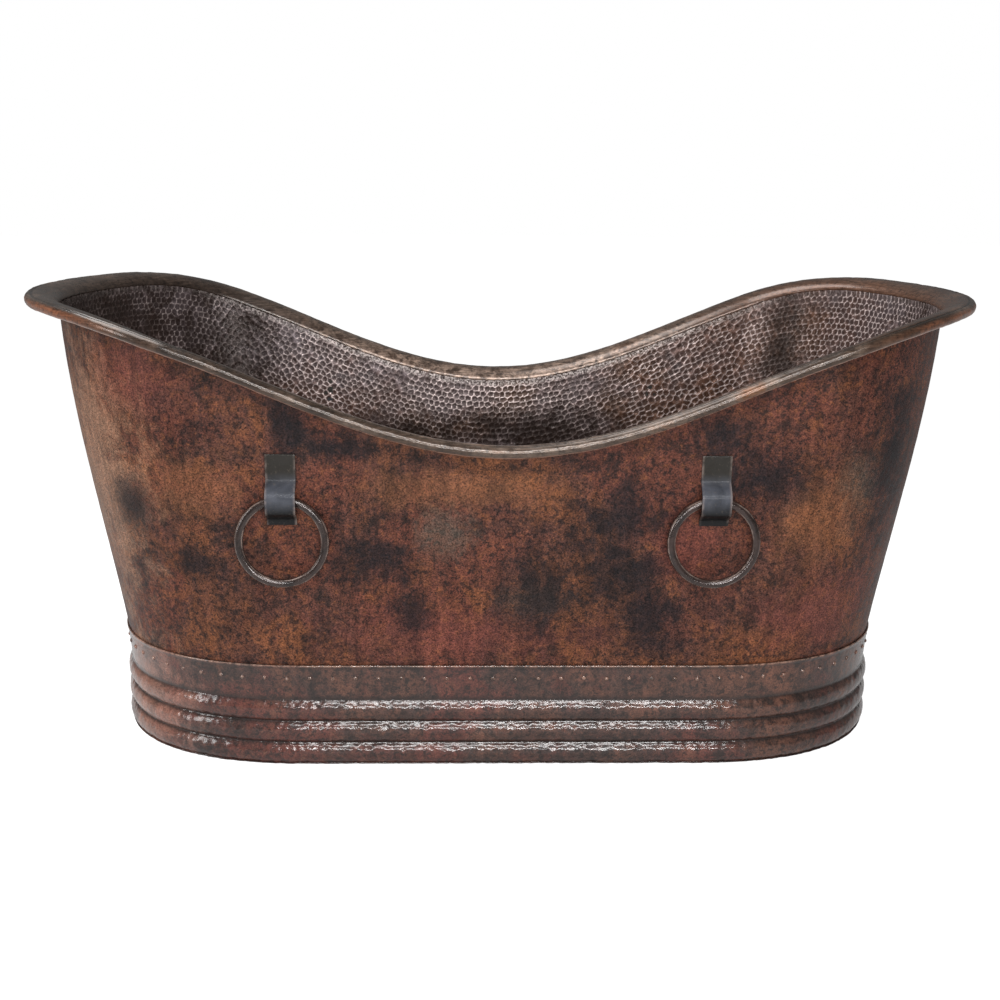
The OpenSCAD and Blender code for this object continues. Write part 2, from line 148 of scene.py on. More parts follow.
def floor_points(k, t, depth):
    """Points of the floor sheet: t from 0 at the wall's foot, over the corner, to 1 at the drain hole.

    depth is measured down from the upper face."""
    k, t = np.broadcast_arrays(np.asarray(k, float), np.asarray(t, float))
    corner = np.clip(t / CORNER_SHARE, 0, 1) * math.pi / 2
    r = CORNER_R + depth
    x, y = outline(inset(FOOT_PLAN, SHEET + CORNER_R - r * np.cos(corner)), k)
    flat = np.clip((t - CORNER_SHARE) / (1 - CORNER_SHARE), 0, 1)
    angle = np.arctan2(y, x)
    edge = np.hypot(x, y)
    radius = edge + (DRAIN_HOLE_R - edge) * flat
    sump = np.clip((SUMP_R - radius) / (SUMP_R - DRAIN_SEAT_R), 0, 1)
    sump = SUMP_DEPTH * sump * sump * (3 - 2 * sump)
    return np.stack([radius * np.cos(angle), radius * np.sin(angle), FOOT_Z - r * np.sin(corner) - sump], -1)


def run_along(line):
    """Distance from the first of a line of points to each of them, along the line."""
    return np.concatenate([[0], np.cumsum(np.linalg.norm(np.diff(line, axis=0), axis=1))])


def even_places(points, count):
    """count places k equally far apart round the closed line points(k)."""
    k = np.linspace(0, TURN, 4001)
    run = run_along(points(k))
    return np.interp(np.linspace(0, run[-1], count, endpoint=False), run, k)


def even_round(plan, count):
    """count places k equally far apart round a plan outline."""
    return even_places(lambda q: np.stack([*outline(plan, q), 0 * q], -1), count)


# ---- Mesh building ---------------------------------------------------------------------------
def in_scene(name, data):
    obj = bpy.data.objects.new(name, data)
    bpy.context.scene.collection.objects.link(obj)
    return obj


def new_piece(name, verts, quads, tris=(), normals=None):
    """A smooth-shaded mesh object from arrays of points, quads and triangles."""
    quads = np.asarray(quads, np.int32).reshape(-1, 4)
    tris = np.asarray(tris, np.int32).reshape(-1, 3)
    mesh = bpy.data.meshes.new(name)
    mesh.vertices.add(len(verts))
    mesh.vertices.foreach_set("co", np.asarray(verts, np.float32).ravel())
    corners = np.concatenate([quads.ravel(), tris.ravel()])
    mesh.loops.add(len(corners))
    mesh.loops.foreach_set("vertex_index", corners)
    starts = np.concatenate([np.arange(len(quads)) * 4, len(quads) * 4 + np.arange(len(tris)) * 3])
    mesh.polygons.add(len(starts))
    mesh.polygons.foreach_set("loop_start", starts.astype(np.int32))
    mesh.update(calc_edges=True)
    mesh.validate()
    mesh.shade_smooth()
    if normals is not None:
        mesh.normals_split_custom_set_from_vertices(normals.tolist())
    return in_scene(name, mesh)


def grid_quads(rows, columns, wrap_rows=False, wrap_columns=False, first=0):
    """Quads of a grid of points numbered row by row from first."""
    i = np.arange(rows if wrap_rows else rows - 1)[:, None]
    j = np.arange(columns if wrap_columns else columns - 1)[None, :]
    i2, j2 = (i + 1) % rows, (j + 1) % columns
    quads = np.stack(np.broadcast_arrays(
        i * columns + j, i2 * columns + j, i2 * columns + j2, i * columns + j2), -1)
    return quads.reshape(-1, 4) + first


def seam(fine, coarse):
    """Triangles that join a line of points to a line with half as many steps."""
    tris = []
    for n in range(len(coarse) - 1):
        f0, f1, f2 = fine[2 * n:2 * n + 3]
        c0, c1 = coarse[n], coarse[n + 1]
        tris += [(f0, f1, c0), (f1, f2, c1), (f1, c1, c0)]
    return tris


def paint(piece, values_by_name):
    """Float attributes at a piece's points, for its material to read."""
    for key, values in values_by_name.items():
        layer = piece.data.attributes.new(key, "FLOAT", "POINT")
        layer.data.foreach_set("value", np.ravel(values).astype(np.float32))


def dress(piece, look, body, slot, *nodes):
    """A piece's material, the body it moves with, and the CAD nodes that it stands for, which are hidden;
    slot is not used.
    """
    piece.data.materials.append(look)
    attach(piece, body)
    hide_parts(*nodes)


def panels(columns, count):
    """Columns of each of count panels of a round sheet: of its fine grid, and of its coarse one."""
    step = columns // count
    for number in range(count):
        own = np.arange(number * step, (number + 1) * step + 1)
        yield own % columns, own[::2] % columns // 2


def capped_tube(name, grid, sides):
    """A closed piece from rings of points: grid[i][j] is point j of ring i, and both ends are capped."""
    rows = len(grid)
    last, first_cap = (rows - 1) * sides, rows * sides
    verts = np.concatenate([grid.reshape(-1, 3), grid[0].mean(0)[None], grid[-1].mean(0)[None]])
    caps = [((n + 1) % sides, n, first_cap) for n in range(sides)]
    caps += [(last + n, last + (n + 1) % sides, first_cap + 1) for n in range(sides)]
    piece = new_piece(name, verts, grid_quads(rows, sides, wrap_columns=True), caps)
    outward_faces(piece)
    return piece


def outward_faces(piece):
    """Turns the faces so that the closed mesh has a positive volume."""
    mesh = bmesh.new()
    mesh.from_mesh(piece.data)
    if mesh.calc_volume(signed=True) < 0:
        bmesh.ops.reverse_faces(mesh, faces=mesh.faces)
    mesh.to_mesh(piece.data)
    mesh.free()


def sheet_piece(name, front, back, front_normals, back_normals, extra):
    """A closed sheet: a finely divided front grid, and a back grid with half as many steps."""
    n, m = front.shape[:2]
    p, q = back.shape[:2]
    base = n * m
    verts = np.concatenate([front.reshape(-1, 3), back.reshape(-1, 3)])
    fid = np.arange(base).reshape(n, m)
    bid = base + np.arange(p * q).reshape(p, q)
    quads = np.concatenate([grid_quads(n, m), grid_quads(p, q, first=base)[:, ::-1]])
    tris = (seam(fid[0], bid[0]) + [t[::-1] for t in seam(fid[-1], bid[-1])]
            + [t[::-1] for t in seam(fid[:, 0], bid[:, 0])] + seam(fid[:, -1], bid[:, -1]))
    a, b, c = front[n // 2, m // 2], front[n // 2 + 1, m // 2], front[n // 2, m // 2 + 1]
    if np.dot(np.cross(b - a, c - a), front_normals[n // 2, m // 2]) < 0:
        quads, tris = quads[:, ::-1], [t[::-1] for t in tris]
    normals = np.concatenate([front_normals.reshape(-1, 3), back_normals.reshape(-1, 3)])
    obj = new_piece(name, verts, quads, tris, normals)
    paint(obj, {key: np.append(values, np.zeros(p * q)) for key, values in extra.items()})
    return obj


def grid_normals(points):
    """Unit normals of a grid of points whose first axis goes round."""
    du = np.roll(points, -1, 0) - np.roll(points, 1, 0)
    dv = np.gradient(points, axis=1)
    normal = np.cross(du, dv)
    return normal / np.maximum(np.linalg.norm(normal, axis=-1, keepdims=True), 1e-12)


OCTAVES = 3
WAVES = 5
OCTAVE_FADE = 1.7
NOISE_GAIN = 2.2


def wave_noise(points, scale, seed):
    """A soft noise round 0, mostly within -1 to 1: sines summed along random directions."""
    draw = np.random.default_rng(seed)
    total = np.zeros(points.shape[:-1])
    reach = 0.0
    for octave in range(OCTAVES):
        for _ in range(WAVES):
            direction = draw.normal(size=3)
            direction *= 2 ** octave / scale / np.linalg.norm(direction)
            total += np.sin(points @ direction * TAU + draw.uniform(0, TAU)) / OCTAVE_FADE ** octave
        reach += WAVES / OCTAVE_FADE ** octave
    return total / reach * NOISE_GAIN


# ---- Hammer marks ----------------------------------------------------------------------------
def tree_of(points):
    tree = kdtree.KDTree(len(points))
    for n, point in enumerate(points):
        tree.insert(point, n)
    tree.balance()
    return tree


class HammerMarks:
    """Round dents beside each other: a point is as deep as the deeper of its two nearest marks makes it."""

    def __init__(self, seeds, radius, depth, spread, seed):
        draw = np.random.default_rng(seed)
        self.tree = tree_of(seeds)
        self.reach = radius
        self.radius = radius * (1 + draw.uniform(-spread, spread, len(seeds)))
        self.depth = depth * (1 + draw.uniform(-2 * spread, 2 * spread, len(seeds)))

    def at(self, points):
        """Depth of the dent, its share from 0 at the rim to 1 in the pit, and 1 on a ridge between two."""
        flat = points.reshape(-1, 3)
        find = self.tree.find_n
        marks = np.array([[(mark, away) for _, mark, away in find(point, 2)] for point in flat.tolist()])
        mark, away = marks[..., 0].astype(int), marks[..., 1]
        share = np.clip(1 - (away / self.radius[mark]) ** 2, 0, 1)
        dent = (share * self.depth[mark]).max(1)
        ridge = np.clip(1 - (away[:, 1] - away[:, 0]) / RIDGE_WIDTH, 0, 1)
        ridge *= np.clip((self.reach * RIDGE_REACH - away[:, 0]) / (self.reach * RIDGE_FADE), 0, 1)
        shape = points.shape[:-1]
        return dent.reshape(shape), share[:, 0].reshape(shape), ridge.reshape(shape)


def thinned(seeds, least):
    """The seeds without those nearer than least to one already kept."""
    tree = tree_of(seeds)
    kept = np.ones(len(seeds), bool)
    for n, point in enumerate(seeds):
        if kept[n]:
            for _, other, _ in tree.find_range(point, least):
                if other > n:
                    kept[other] = False
    return seeds[kept]


def scattered_marks(points, count, radius, depth, spread, seed):
    """Marks at random over a grid of points, no two nearer than radius: from count tries."""
    flat = points.reshape(-1, 3)
    places = flat[rng.permutation(len(flat))[:count]]
    return HammerMarks(thinned(places, radius), radius, depth, spread, seed)


def marks_along(line, shift):
    """Points one pitch apart along a line of points, each moved a little at random."""
    run = run_along(line)
    at = np.arange(shift * HAMMER_PITCH, run[-1], HAMMER_PITCH)
    at = at + rng.uniform(-MARK_JITTER, MARK_JITTER, len(at)) * HAMMER_PITCH
    return np.stack([np.interp(at, run, line[:, axis]) for axis in range(3)], -1)


# ---- Materials -------------------------------------------------------------------------------
PATCH_EDGE = 0.7
NOISE_REACH = (0.3, 0.7)


class Look:
    """A procedural material under construction: its methods add nodes, and most return a socket."""

    def __init__(self, name):
        self.material = bpy.data.materials.new(name)
        self.material.use_nodes = True
        self.tree = self.material.node_tree
        self.tree.nodes.clear()
        self.place = self.add("ShaderNodeTexCoord").outputs["Object"]

    def add(self, kind, inputs=(), **settings):
        """A new node: inputs maps its sockets to values or to other nodes' sockets."""
        node = self.tree.nodes.new(kind)
        for key, value in settings.items():
            setattr(node, key, value)
        for key, value in dict(inputs).items():
            self.put(node.inputs[key], value)
        return node

    def put(self, socket, value):
        if isinstance(value, bpy.types.NodeSocket):
            self.tree.links.new(value, socket)
        elif isinstance(value, tuple) and len(value) == 3 and socket.type == "RGBA":
            socket.default_value = (*value, 1)
        else:
            socket.default_value = value

    def stretched(self, x, y, z):
        """The object's coordinates, multiplied by x, y and z."""
        inputs = {0: self.place, 1: (x, y, z)}
        return self.add("ShaderNodeVectorMath", inputs, operation="MULTIPLY").outputs[0]

    def noise(self, scale, detail, rough=0.6, warp=0.0, place=None):
        return self.add("ShaderNodeTexNoise", {
            "Vector": place or self.place, "Scale": scale, "Detail": detail, "Roughness": rough,
            "Distortion": warp}).outputs[0]

    def attribute(self, name):
        return self.add("ShaderNodeAttribute", attribute_name=name).outputs["Fac"]

    def span(self, value, low, high, to_low=0.0, to_high=1.0, smooth=True):
        """value carried from low..high to to_low..to_high, and held there."""
        kind = "SMOOTHSTEP" if smooth else "LINEAR"
        numbers = enumerate((value, low, high, to_low, to_high))
        return self.add("ShaderNodeMapRange", numbers, interpolation_type=kind).outputs[0]

    def spread(self, value, to_low, to_high, smooth=True):
        """A noise's usual reach carried to to_low..to_high."""
        return self.span(value, *NOISE_REACH, to_low, to_high, smooth)

    def maths(self, kind, a, b=0.0):
        return self.add("ShaderNodeMath", {0: a, 1: b}, operation=kind).outputs[0]

    def times(self, a, b):
        return self.maths("MULTIPLY", a, b)

    def plus(self, a, b):
        return self.maths("ADD", a, b)

    def mix(self, share, a, b, blend="MIX"):
        inputs = {0: share, 6: a, 7: b}
        return self.add("ShaderNodeMix", inputs, data_type="RGBA", blend_type=blend).outputs[2]

    def shades(self, value, *stops):
        """A colour ramp of (position, colour) stops."""
        ramp = self.add("ShaderNodeValToRGB", {0: value})
        points = ramp.color_ramp.elements
        while len(points) < len(stops):
            points.new(0.5)
        for point, (position, colour) in zip(points, stops):
            point.position = position
            point.color = (*colour, 1)
        return ramp.outputs[0]

    def blob(self, centre, size, ragged):
        """1 inside a soft, ragged patch of the given half sizes, and 0 well outside it."""
        away = self.add("ShaderNodeVectorMath", {0: self.place, 1: centre}, operation="SUBTRACT")
        scaled = self.add("ShaderNodeVectorMath", {0: away.outputs[0], 1: size}, operation="DIVIDE")
        length = self.add("ShaderNodeVectorMath", {0: scaled.outputs[0]}, operation="LENGTH")
        reach = self.plus(length.outputs["Value"], ragged)
        return self.span(reach, 1 - PATCH_EDGE, 1 + PATCH_EDGE, 1, 0)

    def finish(self, colour, rough, height=None, bump=0.5, depth=0.001, **fixed):
        """The shader itself: fixed values go on its own sockets."""
        shader = self.add("ShaderNodeBsdfPrincipled", {"Base Color": colour, "Roughness": rough})
        for key, value in fixed.items():
            shader.inputs[key.replace("_", " ").title().replace("Ior", "IOR")].default_value = value
        if height is not None:
            node = self.add("ShaderNodeBump", {"Strength": bump, "Distance": depth, "Height": height})
            self.put(shader.inputs["Normal"], node.outputs[0])
            self.put(shader.inputs["Coat Normal"], node.outputs[0])
        self.add("ShaderNodeOutputMaterial", {"Surface": shader.outputs[0]})
        return self.material


def srgb(red, green, blue):
    """A colour given in display values from 0 to 255, as linear light."""
    return tuple(((v / 255 + 0.055) / 1.055) ** 2.4 if v > 10 else v / 3295 for v in (red, green, blue))


# Soft patches of the shell's patina, and of painted light at its left end: centre and half sizes
DARK_PATCHES = [
    ((0.19, -0.37, 0.45), (0.07, 0.08, 0.05)), ((0.17, -0.36, 0.35), (0.08, 0.08, 0.06)),
    ((0.24, -0.35, 0.26), (0.06, 0.08, 0.06)), ((0.07, -0.35, 0.31), (0.09, 0.08, 0.07)),
    ((-0.21, -0.36, 0.37), (0.06, 0.08, 0.04)), ((-0.16, -0.35, 0.28), (0.03, 0.08, 0.04)),
    ((-0.35, -0.38, 0.60), (0.03, 0.08, 0.04)), ((0.35, -0.38, 0.59), (0.04, 0.08, 0.03)),
    ((0.43, -0.37, 0.52), (0.07, 0.08, 0.04)), ((-0.27, -0.38, 0.57), (0.05, 0.08, 0.02)),
    ((-0.63, -0.30, 0.45), (0.03, 0.12, 0.04)), ((-0.51, -0.34, 0.36), (0.03, 0.08, 0.03)),
    ((0.66, -0.28, 0.52), (0.05, 0.12, 0.12)), ((-0.45, 0.37, 0.50), (0.11, 0.10, 0.08)),
    ((0.10, 0.36, 0.34), (0.13, 0.10, 0.07)), ((0.47, 0.37, 0.58), (0.08, 0.10, 0.05)),
    ((0.76, 0.08, 0.50), (0.08, 0.10, 0.10)), ((-0.75, 0.12, 0.36), (0.08, 0.10, 0.09)),
]
RED_PATCHES = [
    ((-0.61, -0.36, 0.68), (0.07, 0.12, 0.05)), ((0.30, -0.36, 0.40), (0.05, 0.08, 0.05)),
    ((-0.05, -0.35, 0.24), (0.20, 0.08, 0.05)), ((0.55, -0.33, 0.26), (0.12, 0.10, 0.06)),
    ((-0.30, 0.36, 0.34), (0.12, 0.10, 0.06)), ((0.78, -0.05, 0.66), (0.06, 0.10, 0.06)),
]
TAN_PATCHES = [
    ((-0.70, -0.28, 0.58), (0.09, 0.16, 0.10)), ((-0.52, -0.34, 0.50), (0.08, 0.10, 0.05)),
    ((-0.08, -0.37, 0.50), (0.14, 0.08, 0.03)), ((0.52, -0.34, 0.44), (0.06, 0.10, 0.07)),
    ((0.74, 0.20, 0.40), (0.08, 0.14, 0.10)), ((-0.10, 0.36, 0.40), (0.12, 0.10, 0.06)),
]
# painted light: lighter places at the left end, where the side light falls
PAINTED_LIGHT_PATCHES = [
    ((-0.72, -0.24, 0.46), (0.09, 0.20, 0.20)), ((-0.64, -0.24, 0.08), (0.08, 0.16, 0.09)),
]
GREY_PATCHES = [
    ((-0.74, -0.22, 0.36), (0.03, 0.14, 0.10)), ((-0.10, -0.36, 0.42), (0.05, 0.08, 0.04)),
    ((0.05, -0.36, 0.30), (0.06, 0.08, 0.03)), ((0.60, -0.33, 0.50), (0.04, 0.10, 0.05)),
    ((0.25, 0.36, 0.48), (0.10, 0.10, 0.05)), ((-0.55, 0.33, 0.30), (0.08, 0.12, 0.06)),
]


def patina(look, dark, plain, bright, red, grain_contrast):
    """Mottled brown oxide: the shell's and the plinth's colour, and a fine grain for the bump."""
    clouds = look.noise(3.2, 6, 0.62, 0.5)
    mottle = look.noise(12, 7, 0.70, 0.6)
    blots = look.noise(34, 7, 0.74, 0.5)
    specks = look.noise(105, 5, 0.74, 0.3)
    grain = look.noise(360, 3, 0.75)
    colour = look.shades(clouds, (0.30, plain), (0.45, red), (0.54, plain), (0.68, bright))
    for tint, *step in ((bright, mottle, 0.50, 0.66, 0, 0.70), (dark, mottle, 0.36, 0.46, 0.70, 0),
                        (dark, blots, 0.40, 0.48, 0.50, 0), (red, blots, 0.55, 0.62, 0, 0.35),
                        (dark, specks, 0.41, 0.49, 0.78, 0), (bright, specks, 0.54, 0.67, 0, 0.60)):
        colour = look.mix(look.span(*step), colour, tint)
    streaks = look.noise(1, 4, 0.6, place=look.stretched(70, 70, 5))
    light = look.span(grain, 0.32, 0.68, 1 - grain_contrast, 1 + grain_contrast, smooth=False)
    light = look.times(light, look.span(streaks, 0.35, 0.65, 0.84, 1.16))
    return colour, light, specks, grain


def lit(look, colour, light):
    """A colour made darker or lighter by a grey factor round 1."""
    grey = look.add("ShaderNodeCombineColor", {0: light, 1: light, 2: light})
    return look.mix(1.0, colour, grey.outputs[0], "MULTIPLY")


def patches(look, colour, spots, tint, strength):
    """colour with a tint over it inside ragged patches."""
    ragged = look.spread(look.noise(18, 9, 0.78, 0.5), -0.95, 0.95, smooth=False)
    cover = None
    for centre, size in spots:
        blob = look.blob(centre, size, ragged)
        cover = blob if cover is None else look.maths("MAXIMUM", cover, blob)
    return look.mix(look.times(cover, strength), colour, tint)


# Inside the shell: places in painted brown shade, places with painted highlights on the ridges, and coppery
# places
SHADE_PATCHES = [
    ((-0.80, 0.08, 0.68), (0.17, 0.45, 0.40)), ((-0.56, 0.31, 0.58), (0.09, 0.28, 0.28)),
    ((0.60, 0.27, 0.60), (0.04, 0.20, 0.20)), ((0.84, 0.04, 0.68), (0.05, 0.20, 0.20)),
    ((0.10, 0.36, 0.44), (0.14, 0.20, 0.05)), ((-0.20, 0.36, 0.42), (0.10, 0.20, 0.05)),
]
RIDGE_HIGHLIGHT_PATCHES = [
    ((-0.66, 0.25, 0.62), (0.02, 0.22, 0.12)), ((0.42, 0.36, 0.52), (0.12, 0.22, 0.14)),
    ((-0.38, 0.36, 0.56), (0.09, 0.22, 0.08)), ((0.74, 0.16, 0.66), (0.11, 0.34, 0.26)),
    ((0.02, 0.36, 0.52), (0.20, 0.22, 0.03)),
]
COPPERY = [((0.54, 0.30, 0.60), (0.26, 0.30, 0.22)), ((-0.40, 0.34, 0.50), (0.12, 0.20, 0.08))]


def hammered(look, tone, warm, plain, cool, specks):
    """Colour of hammered sheet: dark pits in painted shade, light ridges as painted highlights and partly
    wear, and a painted highlight under the rim.
    """
    pit = look.attribute("pit")
    ground = look.shades(tone, (0.38, warm), (0.49, plain), (0.62, cool))
    ground = patches(look, ground, COPPERY, srgb(98, 66, 50), 0.5)
    # painted shade: the ground turns deep brown in the shaded places
    ground = patches(look, ground, SHADE_PATCHES, srgb(34, 23, 17), 0.92)
    # painted shade: darker towards the middle of each dent
    pit_shade = look.mix(look.span(pit, 0.15, 0.80, 0, 0.55), ground, srgb(36, 28, 26))
    shine = look.span(look.noise(15, 6, 0.7), 0.38, 0.60, 0.05, 0.70)
    # painted highlight: the ridges shine brightest inside these patches
    painted_sheen = patches(look, shine, RIDGE_HIGHLIGHT_PATCHES, (1.0, 1.0, 1.0), 0.8)
    # the painted ridge highlights fade out in the painted shade
    painted_sheen = patches(look, painted_sheen, SHADE_PATCHES, (0.06, 0.05, 0.04), 0.9)
    line = look.span(look.attribute("ridge"), 0.30, 0.90)
    ridge = look.times(line, painted_sheen)
    # painted highlight under the rim, broken up by fine noise
    brow = look.times(look.attribute("brow"), look.span(look.noise(240, 3, 0.7), 0.42, 0.60))
    colour = look.mix(brow, look.mix(ridge, pit_shade, srgb(188, 172, 168)), srgb(226, 214, 208))
    return lit(look, colour, look.spread(specks, 0.65, 1.35, smooth=False))


def shell_look():
    """Hammered sheet: mottled brown outside with painted light at the left end, and grey-brown hammer marks
    inside with painted shade in the pits and painted highlights on the ridges.
    """
    look = Look("shell_copper_patina")
    colour, light, specks, grain = patina(
        look, srgb(31, 24, 23), srgb(70, 44, 37), srgb(102, 61, 37), srgb(84, 47, 37), 0.8)
    for spots, tint, strength in ((TAN_PATCHES, srgb(122, 78, 50), 0.36),
                                  (PAINTED_LIGHT_PATCHES, srgb(150, 116, 94), 0.50),
                                  (RED_PATCHES, srgb(104, 55, 48), 0.40),
                                  (GREY_PATCHES, srgb(74, 66, 58), 0.5),
                                  (DARK_PATCHES, srgb(22, 20, 23), 0.85)):
        colour = patches(look, colour, spots, tint, strength)
    outside = lit(look, colour, light)
    tone = look.noise(4.5, 5, 0.6, 0.4)
    inside = hammered(look, tone, srgb(80, 58, 46), srgb(82, 68, 66), srgb(96, 86, 88), specks)
    is_inside = look.attribute("inside")
    colour = look.mix(is_inside, outside, inside)
    rough = look.plus(look.spread(specks, 0.40, 0.56), look.times(is_inside, -0.20))
    return look.finish(colour, rough, look.plus(specks, grain), 0.35, 0.0008,
                       metallic=0.3, specular_ior_level=0.2)


def floor_look():
    look = Look("floor_copper_patina")
    fine = look.noise(90, 5, 0.7)
    colour = hammered(look, look.noise(5, 5, 0.6, 0.4), srgb(78, 52, 42), srgb(72, 58, 57),
                      srgb(82, 72, 72), fine)
    return look.finish(colour, look.spread(fine, 0.28, 0.46), fine, 0.3, 0.0006,
                       metallic=0.35, coat_weight=0.15, coat_roughness=0.25)


def rim_look():
    """Smooth rolled sheet, grey-brown above, coppery on its face; painted light on the flare with painted
    shade towards the ends, a painted shade line in the crease, and a painted highlight along the lower edge.
    """
    look = Look("rim_copper_patina")
    clouds = look.noise(6, 6, 0.65, 0.5)
    fine = look.noise(140, 5, 0.7)
    brushed = look.noise(1, 4, 0.65, place=look.stretched(26, 26, 420))
    colour = look.shades(clouds, (0.33, srgb(36, 27, 21)), (0.46, srgb(60, 46, 36)),
                         (0.56, srgb(84, 70, 60)), (0.70, srgb(94, 60, 36)))
    copper = look.shades(look.noise(11, 5, 0.6, 0.5), (0.35, srgb(72, 48, 33)), (0.62, srgb(140, 86, 58)))
    ends = look.add("ShaderNodeSeparateXYZ", {0: look.place})
    along = look.maths("ABSOLUTE", ends.outputs[0])
    far = look.span(along, 0.52, 0.80)
    # painted light: the flare's top is lighter, as where it catches the light
    painted_sheen = look.shades(look.noise(60, 6, 0.72, 0.4), (0.42, srgb(66, 49, 39)), (0.58, srgb(142, 120, 106)))
    shaded = look.span(along, 0.18, 0.52, 0, 0.92)
    # towards the ends the flare's painted light gives way to dark brown painted shade, which turns coppery
    # towards the right end
    brown = look.mix(look.span(ends.outputs[0], 0.2, 0.7), srgb(38, 28, 22), srgb(84, 55, 40))
    painted_sheen = look.mix(shaded, painted_sheen, brown)
    colour = look.mix(look.attribute("flare"), colour, painted_sheen)
    face = look.attribute("face")
    colour = look.mix(look.times(face, look.times(far, 0.85)), colour, copper)
    colour = look.mix(look.span(fine, 0.34, 0.48, 0.5, 0), colour, srgb(26, 20, 17))
    # painted shade: a dark line in the crease
    colour = look.mix(look.times(look.attribute("crease_shade"), 0.8), colour, srgb(18, 14, 12))
    # painted highlight along the roll's lower edge
    colour = look.mix(look.times(look.attribute("edge"), 0.8), colour, srgb(172, 134, 116))
    light = look.times(look.span(brushed, 0.35, 0.65, 0.75, 1.25),
                     look.spread(fine, 0.75, 1.25, smooth=False))
    return look.finish(lit(look, colour, light), look.spread(brushed, 0.24, 0.40),
                       look.plus(brushed, fine), 0.30, 0.0006,
                       metallic=0.45, coat_weight=0.35, coat_roughness=0.18)


def plinth_look():
    """Glossy red-brown sheet with painted shade in its grooves and round the rivet heads, painted highlights
    on the lip and the rivet crowns, and painted light towards the left end.
    """
    look = Look("plinth_copper_patina")
    colour, light, specks, grain = patina(
        look, srgb(30, 23, 21), srgb(52, 37, 33), srgb(86, 54, 41), srgb(78, 40, 33), 0.5)
    # painted light: lighter towards the left end
    colour = patches(look, colour, PAINTED_LIGHT_PATCHES, srgb(156, 112, 96), 0.45)
    groove = look.attribute("groove")
    # painted shade: darker in the grooves and round the rivet heads
    colour = look.mix(look.times(groove, 0.85), colour, srgb(30, 22, 20))
    painted_sheen = look.attribute("painted_sheen")
    # painted highlights on the lip and the rivet crowns, broken up by specks
    painted_sheen = look.times(painted_sheen, look.span(specks, 0.40, 0.60, 0.10, 0.55))
    colour = look.mix(painted_sheen, lit(look, colour, light), srgb(182, 148, 130))
    lumps = look.noise(150, 3, 0.6, 0.3)
    return look.finish(colour, look.spread(specks, 0.38, 0.54), look.plus(lumps, grain),
                       0.40, 0.0004, metallic=0.3, specular_ior_level=0.3,
                       coat_weight=0.8, coat_roughness=0.10)


def iron_look(name, upper, lower, gloss, legs=None, metal=0.5, shine=0.5):
    """Forged and waxed iron with painted highlights along its arrises; legs are the colours of a strap's two
    ends: the upper leg's own, and the lower leg's painted shadow.
    """
    look = Look(name)
    wear = look.noise(24, 6, 0.65, 0.4)
    fine = look.noise(210, 5, 0.7)
    colour = look.shades(wear, (0.36, lower), (0.60, upper))
    if legs:
        colour = look.mix(look.attribute("upper_leg"), colour, legs[0])
        # painted shadow on the lower leg
        colour = look.mix(look.attribute("lower_leg_shadow"), colour, legs[1])
    colour = look.mix(look.span(fine, 0.56, 0.72, 0, 0.28), colour, srgb(92, 82, 72))
    # painted highlight along the arrises
    arris_highlight = look.times(look.attribute("arris_highlight"),
                     look.span(look.noise(45, 4, 0.6), 0.40, 0.60, 0.1, 0.8))
    colour = look.mix(arris_highlight, colour, srgb(168, 148, 138))
    return look.finish(colour, look.spread(wear, 0.46 - gloss / 2, 0.60 - gloss / 2),
                       look.plus(wear, fine), 0.4, 0.0006, metallic=metal,
                       specular_ior_level=shine, coat_weight=gloss, coat_roughness=0.15)


def plain_metal_look(name, dark, light_tone, rough):
    look = Look(name)
    stain = look.noise(30, 5, 0.65, 0.4)
    fine = look.noise(360, 4, 0.7)
    colour = look.mix(look.span(stain, 0.35, 0.65), dark, light_tone)
    colour = lit(look, colour, look.spread(fine, 0.85, 1.15, smooth=False))
    return look.finish(colour, look.spread(fine, rough - 0.07, rough + 0.08), fine, 0.2, 0.0003,
                       metallic=0.85)


def rubber_look(name, dark, light_tone):
    look = Look(name)
    fine = look.noise(500, 4, 0.7)
    bloom = look.noise(40, 5, 0.6)
    colour = look.mix(look.span(bloom, 0.4, 0.7), dark, light_tone)
    return look.finish(colour, look.spread(fine, 0.6, 0.8), fine, 0.3, 0.0003)


def oak_look():
    """Sawn oak: long grain along Y with growth rings, pores and a darker stain at random."""
    look = Look("oak_grain")
    wander = look.noise(6, 4, 0.5, place=look.stretched(1, 0.25, 1))
    rings = look.add("ShaderNodeTexWave", {
        "Vector": look.stretched(1, 0.08, 1), "Scale": 22, "Distortion": 6, "Detail": 3,
    }, wave_type="RINGS", rings_direction="Y")
    pores = look.noise(1, 4, 0.7, place=look.stretched(900, 26, 900))
    colour = look.mix(look.span(rings.outputs["Fac"], 0.1, 0.9), srgb(150, 116, 78), srgb(186, 150, 106))
    colour = look.mix(look.span(pores, 0.32, 0.46, 0.6, 0), colour, srgb(92, 66, 42))
    colour = look.mix(look.span(wander, 0.5, 0.75, 0, 0.4), colour, srgb(120, 90, 60))
    return look.finish(colour, look.spread(pores, 0.75, 0.55), pores, 0.4, 0.0006)


